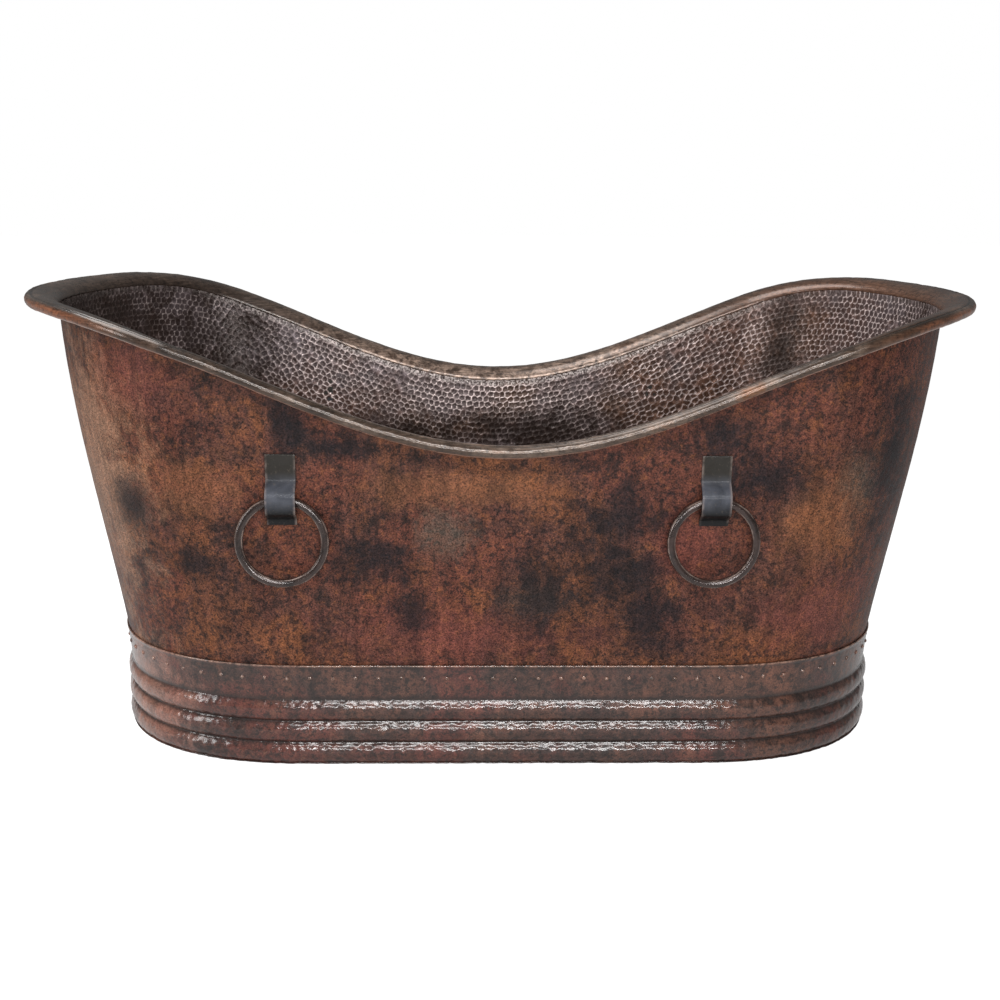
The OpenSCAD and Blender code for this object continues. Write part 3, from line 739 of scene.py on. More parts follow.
# ---- Shell: wall panels and two floor halves --------------------------------------------------
WALL_COLUMNS = 1632
WALL_ROWS = 226
WALL_PANELS = 8
FLOOR_COLUMNS = 960
FLOOR_ROWS = 150
CORNER_ROWS = 18
ROW_PITCH = 0.0113
FIRST_ROW = 0.007
DENT_RADIUS = 0.0082
DENT_DEPTH = 0.0011
MARK_JITTER = 0.18
MARK_SCATTER = 0.0010
MARK_GAP = 0.0085
FLOOR_RUN = 0.62
FLOOR_RUN_MARKED = 0.93
BROW_LIGHT = 0.85
BROW_DEPTH = 0.008
BROW_FADE = (0.35, 0.62)
CALM_GAP = 0.006
CALM_WIDTH = 0.02
DENT_SPREAD = 0.18
PLANISH_RADIUS = 0.026 * 0.62
PLANISH_DEPTH = 0.00022
PLANISH_WAVE = 0.16
PLANISH_SWELL = 0.00012
SCATTER_TRIES = 30000


def inner_seeds():
    """Hammer marks inside the shell: rows that follow the rim on the wall, then rings on the floor."""
    k = np.linspace(0, TURN, 1441)
    foot = wall_points(k, np.zeros_like(k), SHEET)
    height = np.linalg.norm(wall_points(k, np.ones_like(k), SHEET) - foot, axis=1)
    seeds = []
    for row in range(int(height.max() / ROW_PITCH)):
        share = 1 - (FIRST_ROW + row * ROW_PITCH) / height
        line = wall_points(k, np.clip(share, 0, 1), SHEET)
        marks = marks_along(line, 0.5 * (row % 2))
        seeds.append(marks[marks[:, 2] > FOOT_Z + SHEET])
    for row in range(int(FLOOR_RUN / ROW_PITCH)):
        share = (row + 0.3) * ROW_PITCH / FLOOR_RUN
        if share < FLOOR_RUN_MARKED:
            line = floor_points(k, np.full_like(k, share), 0.0)
            seeds.append(marks_along(line, 0.5 * (row % 2)))
    seeds = np.concatenate(seeds)
    seeds += rng.normal(0, MARK_SCATTER, seeds.shape)
    return thinned(seeds, MARK_GAP)


def inward(points, normals):
    """Normals turned to the tub's axis."""
    side = points[..., 0] * normals[..., 0] + points[..., 1] * normals[..., 1]
    return np.where((side > 0)[..., None], -normals, normals)


def upright(normals, up=1):
    """Normals turned to the side that looks up, or with up=-1 to the one that looks down."""
    return np.where(up * normals[..., 2:] < 0, -normals, normals)


def shell_wall(marks, look):
    """The wall: hammered grid inside, planished grid with half the steps outside."""
    k = even_places(lambda q: wall_points(q, np.full_like(q, 0.6), 0), WALL_COLUMNS)[:, None]
    s = np.linspace(0, 1, WALL_ROWS + 1)[None, :]
    inner = wall_points(k, s, SHEET)
    outer = wall_points(k[::2], s[:, ::2], 0)
    dent, pit, ridge = marks.at(inner)
    below_rim = np.linalg.norm(inner[:, -1:] - inner, axis=-1)
    # painted highlight: a light row just under the rim, fading towards the ends
    brow = BROW_LIGHT * np.exp(-(below_rim / BROW_DEPTH) ** 2)
    brow = brow * np.interp(np.abs(inner[..., 0]), BROW_FADE, [1, 0.1])
    inner = inner - inward(inner, grid_normals(inner)) * dent[..., None]
    planish = scattered_marks(outer, SCATTER_TRIES, PLANISH_RADIUS, PLANISH_DEPTH, DENT_SPREAD, seed=5)
    soft = wave_noise(outer, PLANISH_WAVE, 11) * PLANISH_SWELL + PLANISH_SWELL
    outer = outer + inward(outer, grid_normals(outer)) * (planish.at(outer)[0] + soft)[..., None]
    inner_normals = inward(inner, grid_normals(inner))
    outer_normals = -inward(outer, grid_normals(outer))
    for number, (fine, coarse) in enumerate(panels(WALL_COLUMNS, WALL_PANELS)):
        extra = {"pit": pit[fine], "ridge": ridge[fine], "brow": brow[fine],
                 "inside": np.ones_like(pit[fine])}
        panel = sheet_piece(f"wall_panel_{number + 1}", inner[fine], outer[coarse],
                            inner_normals[fine], outer_normals[coarse], extra)
        dress(panel, look, "tub", "shell_copper", "tub_wall")


def shell_floor(marks, look):
    """The floor pan in two halves: hammered above, plain with half the steps below."""
    k = even_places(lambda q: floor_points(q, np.full_like(q, 0.3), 0), FLOOR_COLUMNS)[:, None]
    bend = np.linspace(0, CORNER_SHARE, CORNER_ROWS + 1)[:-1]
    flat = np.linspace(CORNER_SHARE, 1, FLOOR_ROWS - CORNER_ROWS + 1)
    t = np.concatenate([bend, flat])[None, :]
    upper = floor_points(k, t, 0.0)
    lower = floor_points(k[::2], t[:, ::2], SHEET)
    dent, pit, ridge = marks.at(upper)
    radius = np.hypot(upper[..., 0], upper[..., 1])
    calm = np.clip((radius - DRAIN_SEAT_R - CALM_GAP) / CALM_WIDTH, 0, 1)
    dent, pit, ridge = dent * calm, pit * calm + 0.5 * (1 - calm), ridge * calm
    upper = upper - upright(grid_normals(upper)) * dent[..., None]
    normals = upright(grid_normals(upper))
    under = upright(grid_normals(lower), -1)
    for name, (fine, coarse) in zip(("floor_pan_back", "floor_pan_front"), panels(FLOOR_COLUMNS, 2)):
        pan = sheet_piece(name, upper[fine], lower[coarse], normals[fine], under[coarse],
                          {"pit": pit[fine], "ridge": ridge[fine]})
        dress(pan, look, "tub", "inner_copper", "tub_floor")


# ---- Rim -------------------------------------------------------------------------------------
def closed_sweep(name, grid, extra):
    """A closed section carried round a closed line: grid[i][j] is point j of section i."""
    n, m = grid.shape[:2]
    piece = new_piece(name, grid.reshape(-1, 3), grid_quads(n, m, wrap_rows=True, wrap_columns=True))
    paint(piece, extra)
    outward_faces(piece)
    return piece


def rim_points(k, out, rise):
    """Points of the rim: out from the wall's top, rise from the crest."""
    share = out / RIM_FLARE
    tx, ty = outline(TOP_PLAN, k)
    rx, ry = outline(RIM_PLAN, k)
    x, y, z = np.broadcast_arrays(tx + (rx - tx) * share, ty + (ry - ty) * share, crest_z(rx) + rise)
    return np.stack([x, y, z], -1)


RIM_COLUMNS = 840
RIM_GROOVE = 0.003
RIM_SWAY = 0.0004
RIM_DIMPLE = 0.00022
RIM_FACET_RADIUS = 0.0095
RIM_FACET_DEPTH = 0.00035


def rolled_rim(look):
    """The flared rim, rolled round its rod, with the small unevenness of handwork."""
    width = RIM_FLARE - ROLL_R - RIM_GROOVE
    flare = np.radians(np.linspace(0, 90, 15))
    roll = np.radians(np.linspace(80, -200, 34))
    upper = [(width - (width + SHEET) * math.cos(a), -FLARE_DROP + FLARE_DROP * math.sin(a)) for a in flare]
    upper[-1:] = [(width - 0.0022, -0.0003), (width - 0.0008, -0.0011), (width + 0.0006, -0.0019),
                  (width + 0.0020, -0.0012), (width + 0.0032, -0.0004)]
    around = [(RIM_FLARE - ROLL_R + ROLL_R * math.cos(a), -ROLL_R + ROLL_R * math.sin(a)) for a in roll]
    core = ROLL_R - SHEET
    back = [(RIM_FLARE - ROLL_R + core * math.cos(a), -ROLL_R + core * math.sin(a)) for a in roll[::-2]]
    under = [(width - width * math.cos(a), -FLARE_DROP + (FLARE_DROP - SHEET) * math.sin(a))
             for a in flare[::-2]]
    section = np.array(upper + around + back + under)
    face = np.zeros(len(section))
    edge = np.zeros(len(section))
    first = len(upper)
    turn = np.degrees(roll)
    face[first:first + len(roll)] = np.interp(turn, [-120, -90, 20, 60], [0, 1, 1, 0])
    # painted highlight along the roll's lower edge
    edge[first:first + len(roll)] = np.exp(-((turn + 62) / 12) ** 2)
    crease_shade = np.zeros(len(section))
    flared = np.zeros(len(section))
    # painted light on the flare, strongest near the wall and fading outward
    flared[:first - 4] = np.interp(np.arange(first - 4), [0, 2, first - 5], [0.9, 0.9, 0.35])
    # painted shade in the crease between the flare and the roll
    crease_shade[first - 4:first - 1] = (0.6, 1, 0.6)
    k = even_places(lambda q: rim_points(q, RIM_FLARE, 0.0), RIM_COLUMNS)[:, None]
    grid = rim_points(k, section[None, :, 0], section[None, :, 1])
    middle = rim_points(k, RIM_FLARE - ROLL_R, -ROLL_R)
    share = np.clip(section[None, :, 0] / RIM_FLARE, 0, 1)[..., None]
    sway = wave_noise(middle, 0.11, 21)[..., None] * RIM_SWAY
    dimple = (wave_noise(grid, 0.028, 23) - 1)[..., None] * RIM_DIMPLE
    normal = grid - middle
    normal = normal / np.maximum(np.linalg.norm(normal, axis=-1, keepdims=True), 1e-9)
    facets = scattered_marks(grid, SCATTER_TRIES, RIM_FACET_RADIUS, RIM_FACET_DEPTH, 0.3, seed=15)
    grid = grid + normal * (dimple - facets.at(grid)[0][..., None]) * share
    grid[..., 2:] += (sway - 0.0005) * share
    ones = np.ones((RIM_COLUMNS, 1))
    piece = closed_sweep("rolled_rim_sheet", grid, {
        "face": ones * face, "edge": ones * edge, "crease_shade": ones * crease_shade, "flare": ones * flared})
    dress(piece, look, "tub", "rim_copper", "rolled_rim")


# ---- Plinth ----------------------------------------------------------------------------------
SKIRT_COLUMNS = 1400
SKIRT_DENT_TRIES = 70000
SKIRT_DENT_RADIUS = 0.0085
SKIRT_DENT_DEPTH = 0.00062
SKIRT_DENT_SPREAD = 0.35
SKIRT_WANDER = 0.0003
BAND_STEPS = 19
BEAD_STEPS = 17
BAND_TOP = PLINTH_TOP - 0.009
BAND_INSET = 0.002
NECK = BEAD_DEPTH - 0.001
BEAD_TOP = 3 * BEAD_H
BAND_LOW = BEAD_TOP + 0.003
BEAD_R = (BEAD_H ** 2 / 4 + BEAD_DEPTH ** 2) / (2 * BEAD_DEPTH)
BEAD_HALF_ANGLE = math.asin(BEAD_H / 2 / BEAD_R)


def band_share(z):
    """How far down the band height z is: 0 at its top, 1 at the first groove."""
    return (BAND_TOP - z) / (BAND_TOP - BAND_LOW)


def skirt_profile():
    """Outside of the plinth from its lip down: insets, heights, and how deep in a groove each lies, which
    sets its painted shade.
    """
    lip = [(0.0016, 0.0002, 0), (0.0004, 0.0006, 0), (0.0, 0.0020, 0), (0.0003, 0.0040, 0),
           (0.0014, 0.0060, 0.3), (0.0022, 0.0080, 0.1)]
    points = [(inset_at, PLINTH_TOP - down, groove) for inset_at, down, groove in lip]
    for z in np.linspace(BAND_TOP - 0.002, BAND_LOW, BAND_STEPS):
        low = band_share(z)
        points.append((BAND_INSET + (NECK - BAND_INSET) * low, z, max(0, low * 6 - 5.2)))
    for bead in range(3):
        top = BEAD_TOP - bead * BEAD_H
        for step in range(BEAD_STEPS):
            a = BEAD_HALF_ANGLE * (1 - 2 * (step + 0.1) / (BEAD_STEPS - 0.8))
            sunk = BEAD_R * (1 - math.cos(a))
            groove = min(1, max(0, sunk / BEAD_DEPTH * 2.2 - 1.1))
            points.append((NECK + 0.001 - BEAD_DEPTH + sunk, top - BEAD_H / 2 + BEAD_R * math.sin(a), groove))
    points.append((NECK - 0.003, 0.0005, 0.4))
    return np.array(points)


def skirt_inner(z):
    """Inset of the sheet's inside at height z."""
    phase = np.mod(z, BEAD_H) / BEAD_H
    swell = np.clip(np.sin(math.pi * phase) * 1.5, 0, 1)
    beads = NECK + 0.003 - (BEAD_DEPTH - 0.001) * swell
    neck = np.interp(z, [BEAD_TOP, PLINTH_TOP - 0.010, PLINTH_TOP], [NECK + 0.003, 0.0045, 0.0042])
    return np.where(z < BEAD_TOP, beads, neck)


def plinth_skirt(look):
    """The plinth in two halves: beads hammered in small marks, and the flat band with its lip."""
    profile = skirt_profile()
    k = even_round(PLINTH_PLAN, SKIRT_COLUMNS)[:, None]
    x, y = outline(inset(PLINTH_PLAN, profile[None, :, 0]), k)
    z = np.broadcast_to(profile[None, :, 1], x.shape)
    outer = np.stack([x, y, z], -1)
    low = profile[::2]
    inset_in = skirt_inner(low[:, 1])
    inset_in[-1] = NECK + 0.003
    x, y = outline(inset(PLINTH_PLAN, inset_in[None, :]), k[::2])
    inner = np.stack([x, y, np.broadcast_to(low[None, :, 1], x.shape)], -1)
    marks = scattered_marks(
        outer, SKIRT_DENT_TRIES, SKIRT_DENT_RADIUS, SKIRT_DENT_DEPTH, SKIRT_DENT_SPREAD, seed=9)
    dent = marks.at(outer)[0]
    body = np.clip((BEAD_TOP + 0.004 - z) / 0.008, 0.35, 1)
    waves = (wave_noise(outer, 0.07, 31) - 1) * SKIRT_WANDER
    normals = -inward(outer, grid_normals(outer))
    outer = outer + normals * ((waves - dent) * body)[..., None]
    outer[..., 2] = np.clip(outer[..., 2], 0.0004, PLINTH_TOP)
    normals = -inward(outer, grid_normals(outer))
    normals[:, 0] = (0, 0, 1)
    under = inward(inner, grid_normals(inner))
    groove = np.broadcast_to(profile[None, :, 2], z.shape)
    # painted highlight: a thin light line along the lip's top
    painted_sheen = np.exp(-((PLINTH_TOP - 0.0012 - z) / 0.0011) ** 2)
    names = ("plinth_skirt_back", "plinth_skirt_front")
    for name, (fine, coarse) in zip(names, panels(SKIRT_COLUMNS, 2)):
        piece = sheet_piece(name, outer[fine], inner[coarse], normals[fine], under[coarse],
                            {"groove": groove[fine], "painted_sheen": painted_sheen[fine]})
        dress(piece, look, "tub", "plinth_copper", "plinth_skirt")


RIVETS = 92
RIVET_DOME = [(1.0, -0.5), (1.0, 0.0), (0.94, 0.28), (0.80, 0.52), (0.60, 0.74), (0.34, 0.92), (0.12, 1.0)]
RIVET_SIDES = 20
RIVET_RISE = 0.72
RIVET_SINK = 0.0008


def rivets(look):
    """Hammered rivet heads in a row round the plinth's band."""
    low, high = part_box("skirt_rivets")
    height = (low.z + high.z) / 2
    radius = (high.z - low.z) / 2
    sides = RIVET_SIDES
    plan = inset(PLINTH_PLAN, BAND_INSET + (NECK - BAND_INSET) * band_share(height))
    places = even_round(plan, 2 * RIVETS)[1::2]
    verts, quads, tris = [], [], []
    crown_highlights, shades = [], []
    for k in places:
        here = np.array([float(v) for v in outline(plan, k)])
        ahead = np.array([float(v) for v in outline(plan, k + 0.05)])
        along = (ahead - here) / np.linalg.norm(ahead - here)
        out = np.array([along[1], -along[0]])
        size = radius * rng.uniform(0.90, 1.0)
        lean = rng.normal(0, 0.10, 2)
        centre = np.array([*here, height + rng.normal(0, 0.0006)])
        first = len(verts)
        for share, rise in RIVET_DOME:
            for n in range(sides):
                a = TAU * n / sides
                u, v = share * size * math.cos(a), share * size * math.sin(a)
                w = rise * size * RIVET_RISE + (lean[0] * u + lean[1] * v) * max(rise, 0) - RIVET_SINK
                # painted highlight on the crown, and painted shade round the foot
                crown_highlights.append(max(0, rise * 1.6 - 0.6) * 0.8)
                shades.append(0.9 if rise < 0.1 else 0)
                verts.append(centre + np.array([along[0] * u + out[0] * w, along[1] * u + out[1] * w, v]))
        quads.append(grid_quads(len(RIVET_DOME), sides, wrap_columns=True, first=first))
        top = first + (len(RIVET_DOME) - 1) * sides
        verts.append(centre + np.array([out[0], out[1], 0]) * (size * RIVET_RISE * 1.01 - RIVET_SINK))
        tris += [(top + n, top + (n + 1) % sides, len(verts) - 1) for n in range(sides)]
        verts.append(centre - np.array([out[0], out[1], 0]) * 0.0025)
        crown_highlights += [0.8, 0]
        shades += [0, 0.9]
        tris += [(first + (n + 1) % sides, first + n, len(verts) - 1) for n in range(sides)]
    piece = new_piece("rivet_heads", np.array(verts), np.concatenate(quads), tris)
    paint(piece, {"painted_sheen": crown_highlights, "groove": shades})
    outward_faces(piece)
    dress(piece, look, "tub", "plinth_copper", "skirt_rivets")


# ---- Rings and straps ------------------------------------------------------------------------
RING_STEPS = 200
RING_SIDES = 36
RING_UNEVEN = 0.00025
RING_FACETS = 8
RING_FACET_DEPTH = 0.00008


def forged_ring(name, look, seed):
    """A hand-forged ring: its bar is a little uneven and slightly faceted by the hammer."""
    low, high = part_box(name)
    bar = (high.y - low.y) / 2
    radius = (high.z - low.z) / 2 - bar
    middle = (low + high) / 2
    around = np.linspace(0, TAU, RING_STEPS, endpoint=False)[:, None]
    side = np.linspace(0, TAU, RING_SIDES, endpoint=False)[None, :]
    core = np.stack([radius * np.cos(around), 0 * around, radius * np.sin(around)], -1)
    out = np.stack(np.broadcast_arrays(np.cos(around) * np.cos(side), np.sin(side) + 0 * around,
                                       np.sin(around) * np.cos(side)), -1)
    skin = core + out * bar
    facet = np.cos(side * RING_FACETS + 1.5 * np.sin(around * 3 + seed)) * RING_FACET_DEPTH
    uneven = (wave_noise(skin, 0.035, 40 + seed) - 1) * RING_UNEVEN + facet - 0.0001
    skin = core + out * (bar + uneven)[..., None] + np.array(middle)
    # painted highlight lines along the bar's inner and outer contours, on both faces
    arris_highlight = np.exp(-((np.abs(np.sin(side)) - 0.58) / 0.13) ** 2) + 0 * around
    dress(closed_sweep(name + "_forged", skin, {"arris_highlight": arris_highlight}), look, name, "iron", name)


STRAP_W = 0.049
STRAP_T = 0.004
STRAP_LEAN = math.radians(5.3)
STRAP_GAP = 0.0016
STRAP_TOP = 0.076
STRAP_BOTTOM = -0.045
STRAP_EASE = 0.0009
STRAP_EASE_STEPS = 4
STRAP_FACE_STEPS = 14
STRAP_HAMMERED = 0.00022
ARCH_TOP = (0.034, 0.008)
ARCH_BOTTOM = (-0.036, -0.014)


def strap_back(v, depth):
    """Distance of a strap's back from the wall at height v along it."""
    def ramp(foot, crown):
        return (1 - np.cos(math.pi * np.clip((v - foot) / (crown - foot), 0, 1))) / 2
    return depth * np.minimum(ramp(*ARCH_TOP), ramp(*ARCH_BOTTOM))


def bent_strap(name, ring, look, seed):
    """A flat strap bent over the ring's bar, its corners eased and its face lightly hammered."""
    ring_low, ring_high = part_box(ring)
    bar = (ring_high.y - ring_low.y) / 2
    ring_r = (ring_high.z - ring_low.z) / 2 - bar
    axis = Vector(((ring_low.x + ring_high.x) / 2, (ring_low.y + ring_high.y) / 2, ring_high.z - bar))
    outward = -1 if axis.y < 0 else 1
    gap = bar + STRAP_GAP
    sag = ring_r - math.sqrt(ring_r ** 2 - STRAP_W ** 2 / 4)
    depth = gap + bar + sag + 0.001
    v = np.concatenate([[STRAP_TOP, STRAP_TOP - 0.0003, STRAP_TOP - 0.001], np.linspace(0.074, 0.036, 14),
                        np.linspace(0.0345, 0.0075, 26), np.linspace(0.006, -0.0125, 10),
                        np.linspace(-0.0145, -0.0365, 22), np.linspace(-0.038, -0.0435, 4),
                        [STRAP_BOTTOM + 0.001, STRAP_BOTTOM + 0.0003, STRAP_BOTTOM]])
    back = np.stack([strap_back(v, depth), v], -1)
    run = np.gradient(back, axis=0)
    run /= np.linalg.norm(run, axis=1, keepdims=True)
    side = np.stack([-run[:, 1], run[:, 0]], -1)
    side *= np.sign(side[:, :1])
    ease, half_w, half_t = STRAP_EASE, STRAP_W / 2, STRAP_T / 2
    section, front_corners = [], []
    for corner, (sx, st) in enumerate(((1, 1), (-1, 1), (-1, -1), (1, -1))):
        if st > 0:
            front_corners += range(len(section), len(section) + STRAP_EASE_STEPS)
        for step in range(STRAP_EASE_STEPS):
            a = math.radians(90 * (corner + step / (STRAP_EASE_STEPS - 1)))
            section.append((sx * (half_w - ease) + ease * math.cos(a),
                            st * (half_t - ease) + ease * math.sin(a)))
        if corner % 2 == 0:
            for share in np.linspace(0, 1, STRAP_FACE_STEPS)[1:-1]:
                section.append(((sx * (half_w - ease)) * (1 - 2 * share), st * half_t))
    section = np.array(section)
    end = np.ones(len(v))
    end[0] = end[-1] = 0.93
    end[1] = end[-2] = 0.975
    end[2] = end[-3] = 0.995
    across = section[None, :, 0] * end[:, None]
    thick = half_t + section[None, :, 1] * np.where(end < 0.99, 0.75, 1)[:, None]
    u = back[:, None, 0] + side[:, None, 0] * thick - gap
    w = back[:, None, 1] + side[:, None, 1] * thick
    draw = wave_noise(np.stack([across, u, w], -1), 0.02, 60 + seed)
    front = (section[None, :, 1] > 0) * 1.0
    u = u + (draw - 1) * STRAP_HAMMERED * front
    cos, sin = math.cos(STRAP_LEAN), math.sin(STRAP_LEAN)
    out = u * cos + w * sin
    rise = w * cos - u * sin
    grid = np.stack([axis.x + across, axis.y + outward * out, axis.z + rise], -1)
    rows, columns = across.shape
    piece = capped_tube(name + "_bent", grid, columns)
    # painted highlight along the front corners
    arris_highlight = np.zeros(columns)
    arris_highlight[front_corners] = 0.3
    paint(piece, {"arris_highlight": np.append(np.tile(arris_highlight, rows), (0, 0))})
    # the lower leg in painted shadow under the arch; the upper leg in its own olive colour
    for key, share in (("upper_leg", np.interp(v, [0.020, 0.046], [0, 0.9])),
                       ("lower_leg_shadow", np.interp(v, [-0.018, 0.004], [0.97, 0]))):
        paint(piece, {key: np.append(np.repeat(share, columns), (share[0], share[-1]))})
    dress(piece, look, "tub", "iron", name)


# ---- Waste and bearers ------------------------------------------------------------------------
CAP_SIDES = 96
CAP_STEPS = 13
CAP_HEAD = 0.007
CAP_NECK_R = 0.0155
CAP_EDGE = 0.0029
CAP_CROWN = 0.0039


def stopper_cap(look):
    """The waste's domed cap, turned: an eased rim, a shallow step and a low crown."""
    low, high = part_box("stopper_cap")
    radius = high.x
    brim = high.z - CAP_HEAD
    neck = CAP_NECK_R
    points = [(neck - 0.001, low.z), (neck, low.z + 0.0006), (neck, brim), (radius - 0.0012, brim),
              (radius - 0.0003, brim + 0.0004), (radius, brim + 0.0012), (radius - 0.0004, brim + 0.0022),
              (radius - 0.0024, brim + 0.0031), (radius - 0.0030, brim + CAP_EDGE)]
    for step in range(CAP_STEPS):
        a = math.pi / 2 * (step + 1) / (CAP_STEPS + 0.6)
        points.append(((radius - 0.0034) * math.cos(a), brim + CAP_EDGE + CAP_CROWN * math.sin(a)))
    radii, heights = np.array(points).T[:, :, None]
    turn = np.linspace(0, TAU, CAP_SIDES, endpoint=False)[None, :]
    grid = np.stack([radii * np.cos(turn), radii * np.sin(turn), heights + 0 * turn], -1)
    dress(capped_tube("stopper_cap_turned", grid, CAP_SIDES), look, "stopper", "bronze", "stopper_cap")


SPRING_TURNS = 4
SPRING_WIRE_R = 0.0006
SPRING_STEPS = 48
SPRING_SIDES = 12


def coil_spring(look):
    """The stopper's return spring: a coil."""
    low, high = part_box("stopper_spring")
    radius = (high.x - low.x) / 2 - SPRING_WIRE_R
    steps = SPRING_STEPS * SPRING_TURNS + 1
    turn = np.linspace(0, TAU * SPRING_TURNS, steps)[:, None]
    side = np.linspace(0, TAU, SPRING_SIDES, endpoint=False)[None, :]
    out = radius + SPRING_WIRE_R * np.cos(side)
    rise = np.linspace(low.z + SPRING_WIRE_R, high.z - SPRING_WIRE_R, steps)[:, None]
    grid = np.stack([out * np.cos(turn), out * np.sin(turn), rise + SPRING_WIRE_R * np.sin(side)], -1)
    piece = capped_tube("stopper_spring_coil", grid, SPRING_SIDES)
    dress(piece, look, "tub", "steel", "stopper_spring")
    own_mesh(piece)


BEARER_CHAMFER = 0.020
BEARER_EASE = 0.0022


def bearer(name, look):
    """A sawn beam under the floor with chamfered upper ends and eased edges."""
    low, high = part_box(name)
    notch = BEARER_CHAMFER
    outline_yz = [(low.y, low.z), (high.y, low.z), (high.y, high.z - notch), (high.y - notch, high.z),
                  (low.y + notch, high.z), (low.y, high.z - notch)]
    mesh = bmesh.new()
    faces = []
    for x in (low.x, high.x):
        faces.append(mesh.faces.new([mesh.verts.new((x, y, z)) for y, z in outline_yz]))
    near, far = (list(face.verts) for face in faces)
    for n in range(len(near)):
        m = (n + 1) % len(near)
        mesh.faces.new([near[n], near[m], far[m], far[n]])
    bmesh.ops.recalc_face_normals(mesh, faces=mesh.faces)
    bmesh.ops.bevel(mesh, geom=list(mesh.edges), offset=BEARER_EASE, segments=3, profile=0.6,
                    affect="EDGES")
    data = bpy.data.meshes.new(name + "_beam")
    mesh.to_mesh(data)
    mesh.free()
    data.shade_smooth()
    data.set_sharp_from_angle(angle=math.radians(35))
    dress(in_scene(name + "_beam", data), look, "tub", "oak", name)


# ---- Camera, lights and stage ------------------------------------------------------------------
CAMERA_PLACE = (-0.0826, -2.7252, 1.0562)
CAMERA_LENS = 53.4


def camera():
    """The camera: yaw, pitch and roll in radians, from a level view along +Y."""
    yaw, pitch, roll = 0.0302, 0.2398, 0.0101
    ahead = Vector((math.sin(yaw), math.cos(yaw), 0))
    right = Vector((math.cos(yaw), -math.sin(yaw), 0))
    up = Vector((0, 0, 1))
    view = ahead * math.cos(pitch) - up * math.sin(pitch)
    top = up * math.cos(pitch) + ahead * math.sin(pitch)
    x_axis = right * math.cos(roll) + top * math.sin(roll)
    y_axis = top * math.cos(roll) - right * math.sin(roll)
    data = bpy.data.cameras.new("camera")
    data.lens = CAMERA_LENS
    data.sensor_width = 36
    obj = in_scene("camera", data)
    turn = Matrix((x_axis, y_axis, -view)).transposed().to_4x4()
    obj.matrix_world = Matrix.Translation(CAMERA_PLACE) @ turn
    bpy.context.scene.camera = obj


def soft_light(name, place, target, size, power):
    data = bpy.data.lights.new(name, "AREA")
    data.shape = "RECTANGLE"
    data.size, data.size_y = size
    data.energy = power
    obj = in_scene(name, data)
    obj.location = place
    obj.rotation_euler = (Vector(target) - Vector(place)).to_track_quat("-Z", "Y").to_euler()


GLOSSY_SURROUND = 0.14
FLOOR_RADIUS = 14
FLOOR_FADE = (0.6, 3.0)
FLOOR_GLOW = 0.80
FLOOR_ALBEDO = 0.30
FLOOR_REFLECTED = 0.30


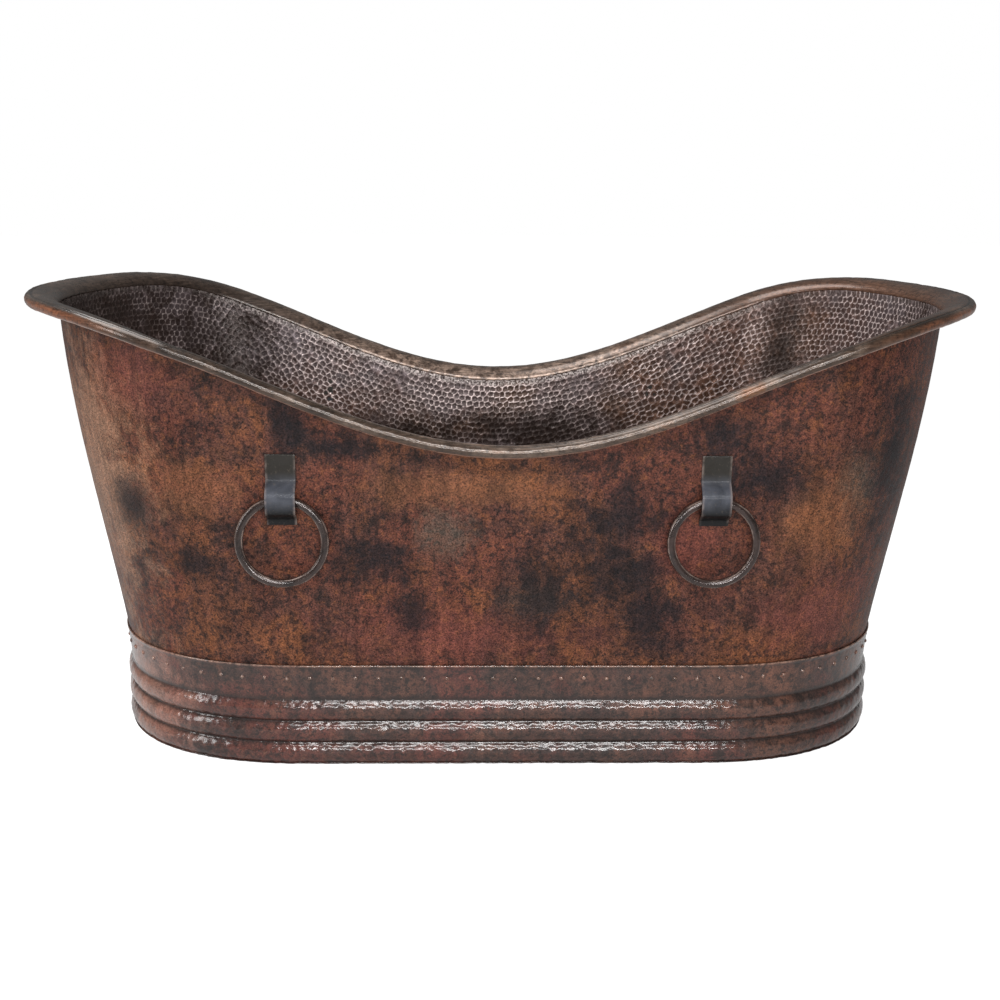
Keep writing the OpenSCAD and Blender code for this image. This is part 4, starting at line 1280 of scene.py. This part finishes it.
def studio():
    """A pale floor, a white surround and soft lights; reflections show the floor and surround dimmer."""
    turn = np.linspace(0, TAU, 64, endpoint=False)
    mesh = bpy.data.meshes.new("studio_floor")
    edge = [(FLOOR_RADIUS * math.cos(a), FLOOR_RADIUS * math.sin(a), 0) for a in turn]
    mesh.from_pydata(edge, [], [list(range(len(edge)))])
    floor = in_scene("studio_floor", mesh)
    look = Look("studio_floor")
    tone = look.noise(0.8, 2, 0.5)
    reach = look.add("ShaderNodeVectorMath", {0: look.place}, operation="LENGTH")
    glow = look.span(reach.outputs["Value"], *FLOOR_FADE, FLOOR_GLOW, 1.0)
    mirrored = look.span(look.add("ShaderNodeLightPath").outputs["Is Glossy Ray"], 0, 1, 1, FLOOR_REFLECTED)
    glow = look.times(glow, mirrored)
    plain = look.span(reach.outputs["Value"], *FLOOR_FADE, FLOOR_ALBEDO, 0.02)
    shade = look.mix(look.span(tone, 0.4, 0.6), (0.98, 0.98, 0.98), (1.0, 1.0, 1.0))
    floor.data.materials.append(look.finish(
        lit(look, shade, plain), 0.9, emission_color=(1, 1, 1, 1), specular_ior_level=0.0))
    look.put(look.tree.nodes["Principled BSDF"].inputs["Emission Strength"], glow)

    world = bpy.data.worlds.new("studio")
    bpy.context.scene.world = world
    world.use_nodes = True
    tree = world.node_tree
    ground = tree.nodes["Background"]
    ground.inputs["Color"].default_value = (1, 1, 1, 1)
    ray = tree.nodes.new("ShaderNodeLightPath")
    strength = tree.nodes.new("ShaderNodeMapRange")
    strength.inputs["To Min"].default_value = 1.0
    strength.inputs["To Max"].default_value = GLOSSY_SURROUND
    tree.links.new(ray.outputs["Is Glossy Ray"], strength.inputs["Value"])
    tree.links.new(strength.outputs[0], ground.inputs["Strength"])
    soft_light("overhead", place=(-1.3, 0.2, 3.3), target=(0, 0.1, 0.2), size=(2.8, 2.2), power=110)
    soft_light("key", place=(0.1, -2.9, 2.4), target=(0, -0.3, 0.2), size=(1.8, 0.30), power=62)
    soft_light("low_strip", place=(0.2, -3.2, 0.95), target=(0, -0.3, 0.1), size=(2.0, 0.09), power=46)
    soft_light("side", place=(-3.2, -1.8, 1.3), target=(0, 0, 0.5), size=(0.5, 1.8), power=38)
    bpy.context.scene.view_settings.view_transform = "Standard"


# ---- Build -----------------------------------------------------------------------------------
camera()
studio()

shell_copper = shell_look()
inner_copper = floor_look()
rim_copper = rim_look()
plinth_copper = plinth_look()
ring_iron = iron_look("ring_iron", srgb(52, 38, 34), srgb(26, 20, 19), gloss=0.5)
# the straps' blue-grey is painted reflection on the arch; legs gives the two legs' colours
strap_iron = iron_look("strap_iron", srgb(66, 68, 75), srgb(46, 48, 54), gloss=0.08,
                       legs=(srgb(31, 27, 20), srgb(12, 12, 12)), metal=0.15, shine=0.2)
bronze = plain_metal_look("oiled_bronze", srgb(58, 38, 26), srgb(112, 74, 46), 0.36)
steel = plain_metal_look("mild_steel", srgb(96, 94, 92), srgb(140, 138, 136), 0.42)
rubber = rubber_look("black_rubber", srgb(22, 22, 23), srgb(40, 40, 41))
nylon = rubber_look("nylon", srgb(196, 192, 180), srgb(222, 220, 210))
oak = oak_look()

hammer_marks = HammerMarks(inner_seeds(), DENT_RADIUS, DENT_DEPTH, DENT_SPREAD, seed=3)
shell_wall(hammer_marks, shell_copper)
shell_floor(hammer_marks, inner_copper)
rolled_rim(rim_copper)
plinth_skirt(plinth_copper)
rivets(plinth_copper)
for number, corner in enumerate(("front_left", "front_right", "back_left", "back_right")):
    forged_ring("ring_" + corner, ring_iron, number)
    bent_strap("strap_" + corner, "ring_" + corner, strap_iron, number)
stopper_cap(bronze)
coil_spring(steel)
for place in ("far_left", "left", "right", "far_right"):
    bearer("bearer_" + place, oak)

CARRIED = {
    "rim_core_rod": steel, "foot_ring": steel, "stopper_stem": steel,
    "bearer_pads": rubber, "drain_gasket": rubber, "drain_washer": rubber, "tail_washer": rubber,
    "stopper_seal": rubber, "slip_ring": nylon, "drain_body": bronze, "drain_locknut": bronze,
    "tailpiece": bronze, "tail_nut": bronze, "stopper_cartridge": bronze,
}
for node, look in CARRIED.items():
    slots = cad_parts[node].data.materials
    for n in range(len(slots)):
        slots[n] = look
    if not slots:
        slots.append(look)
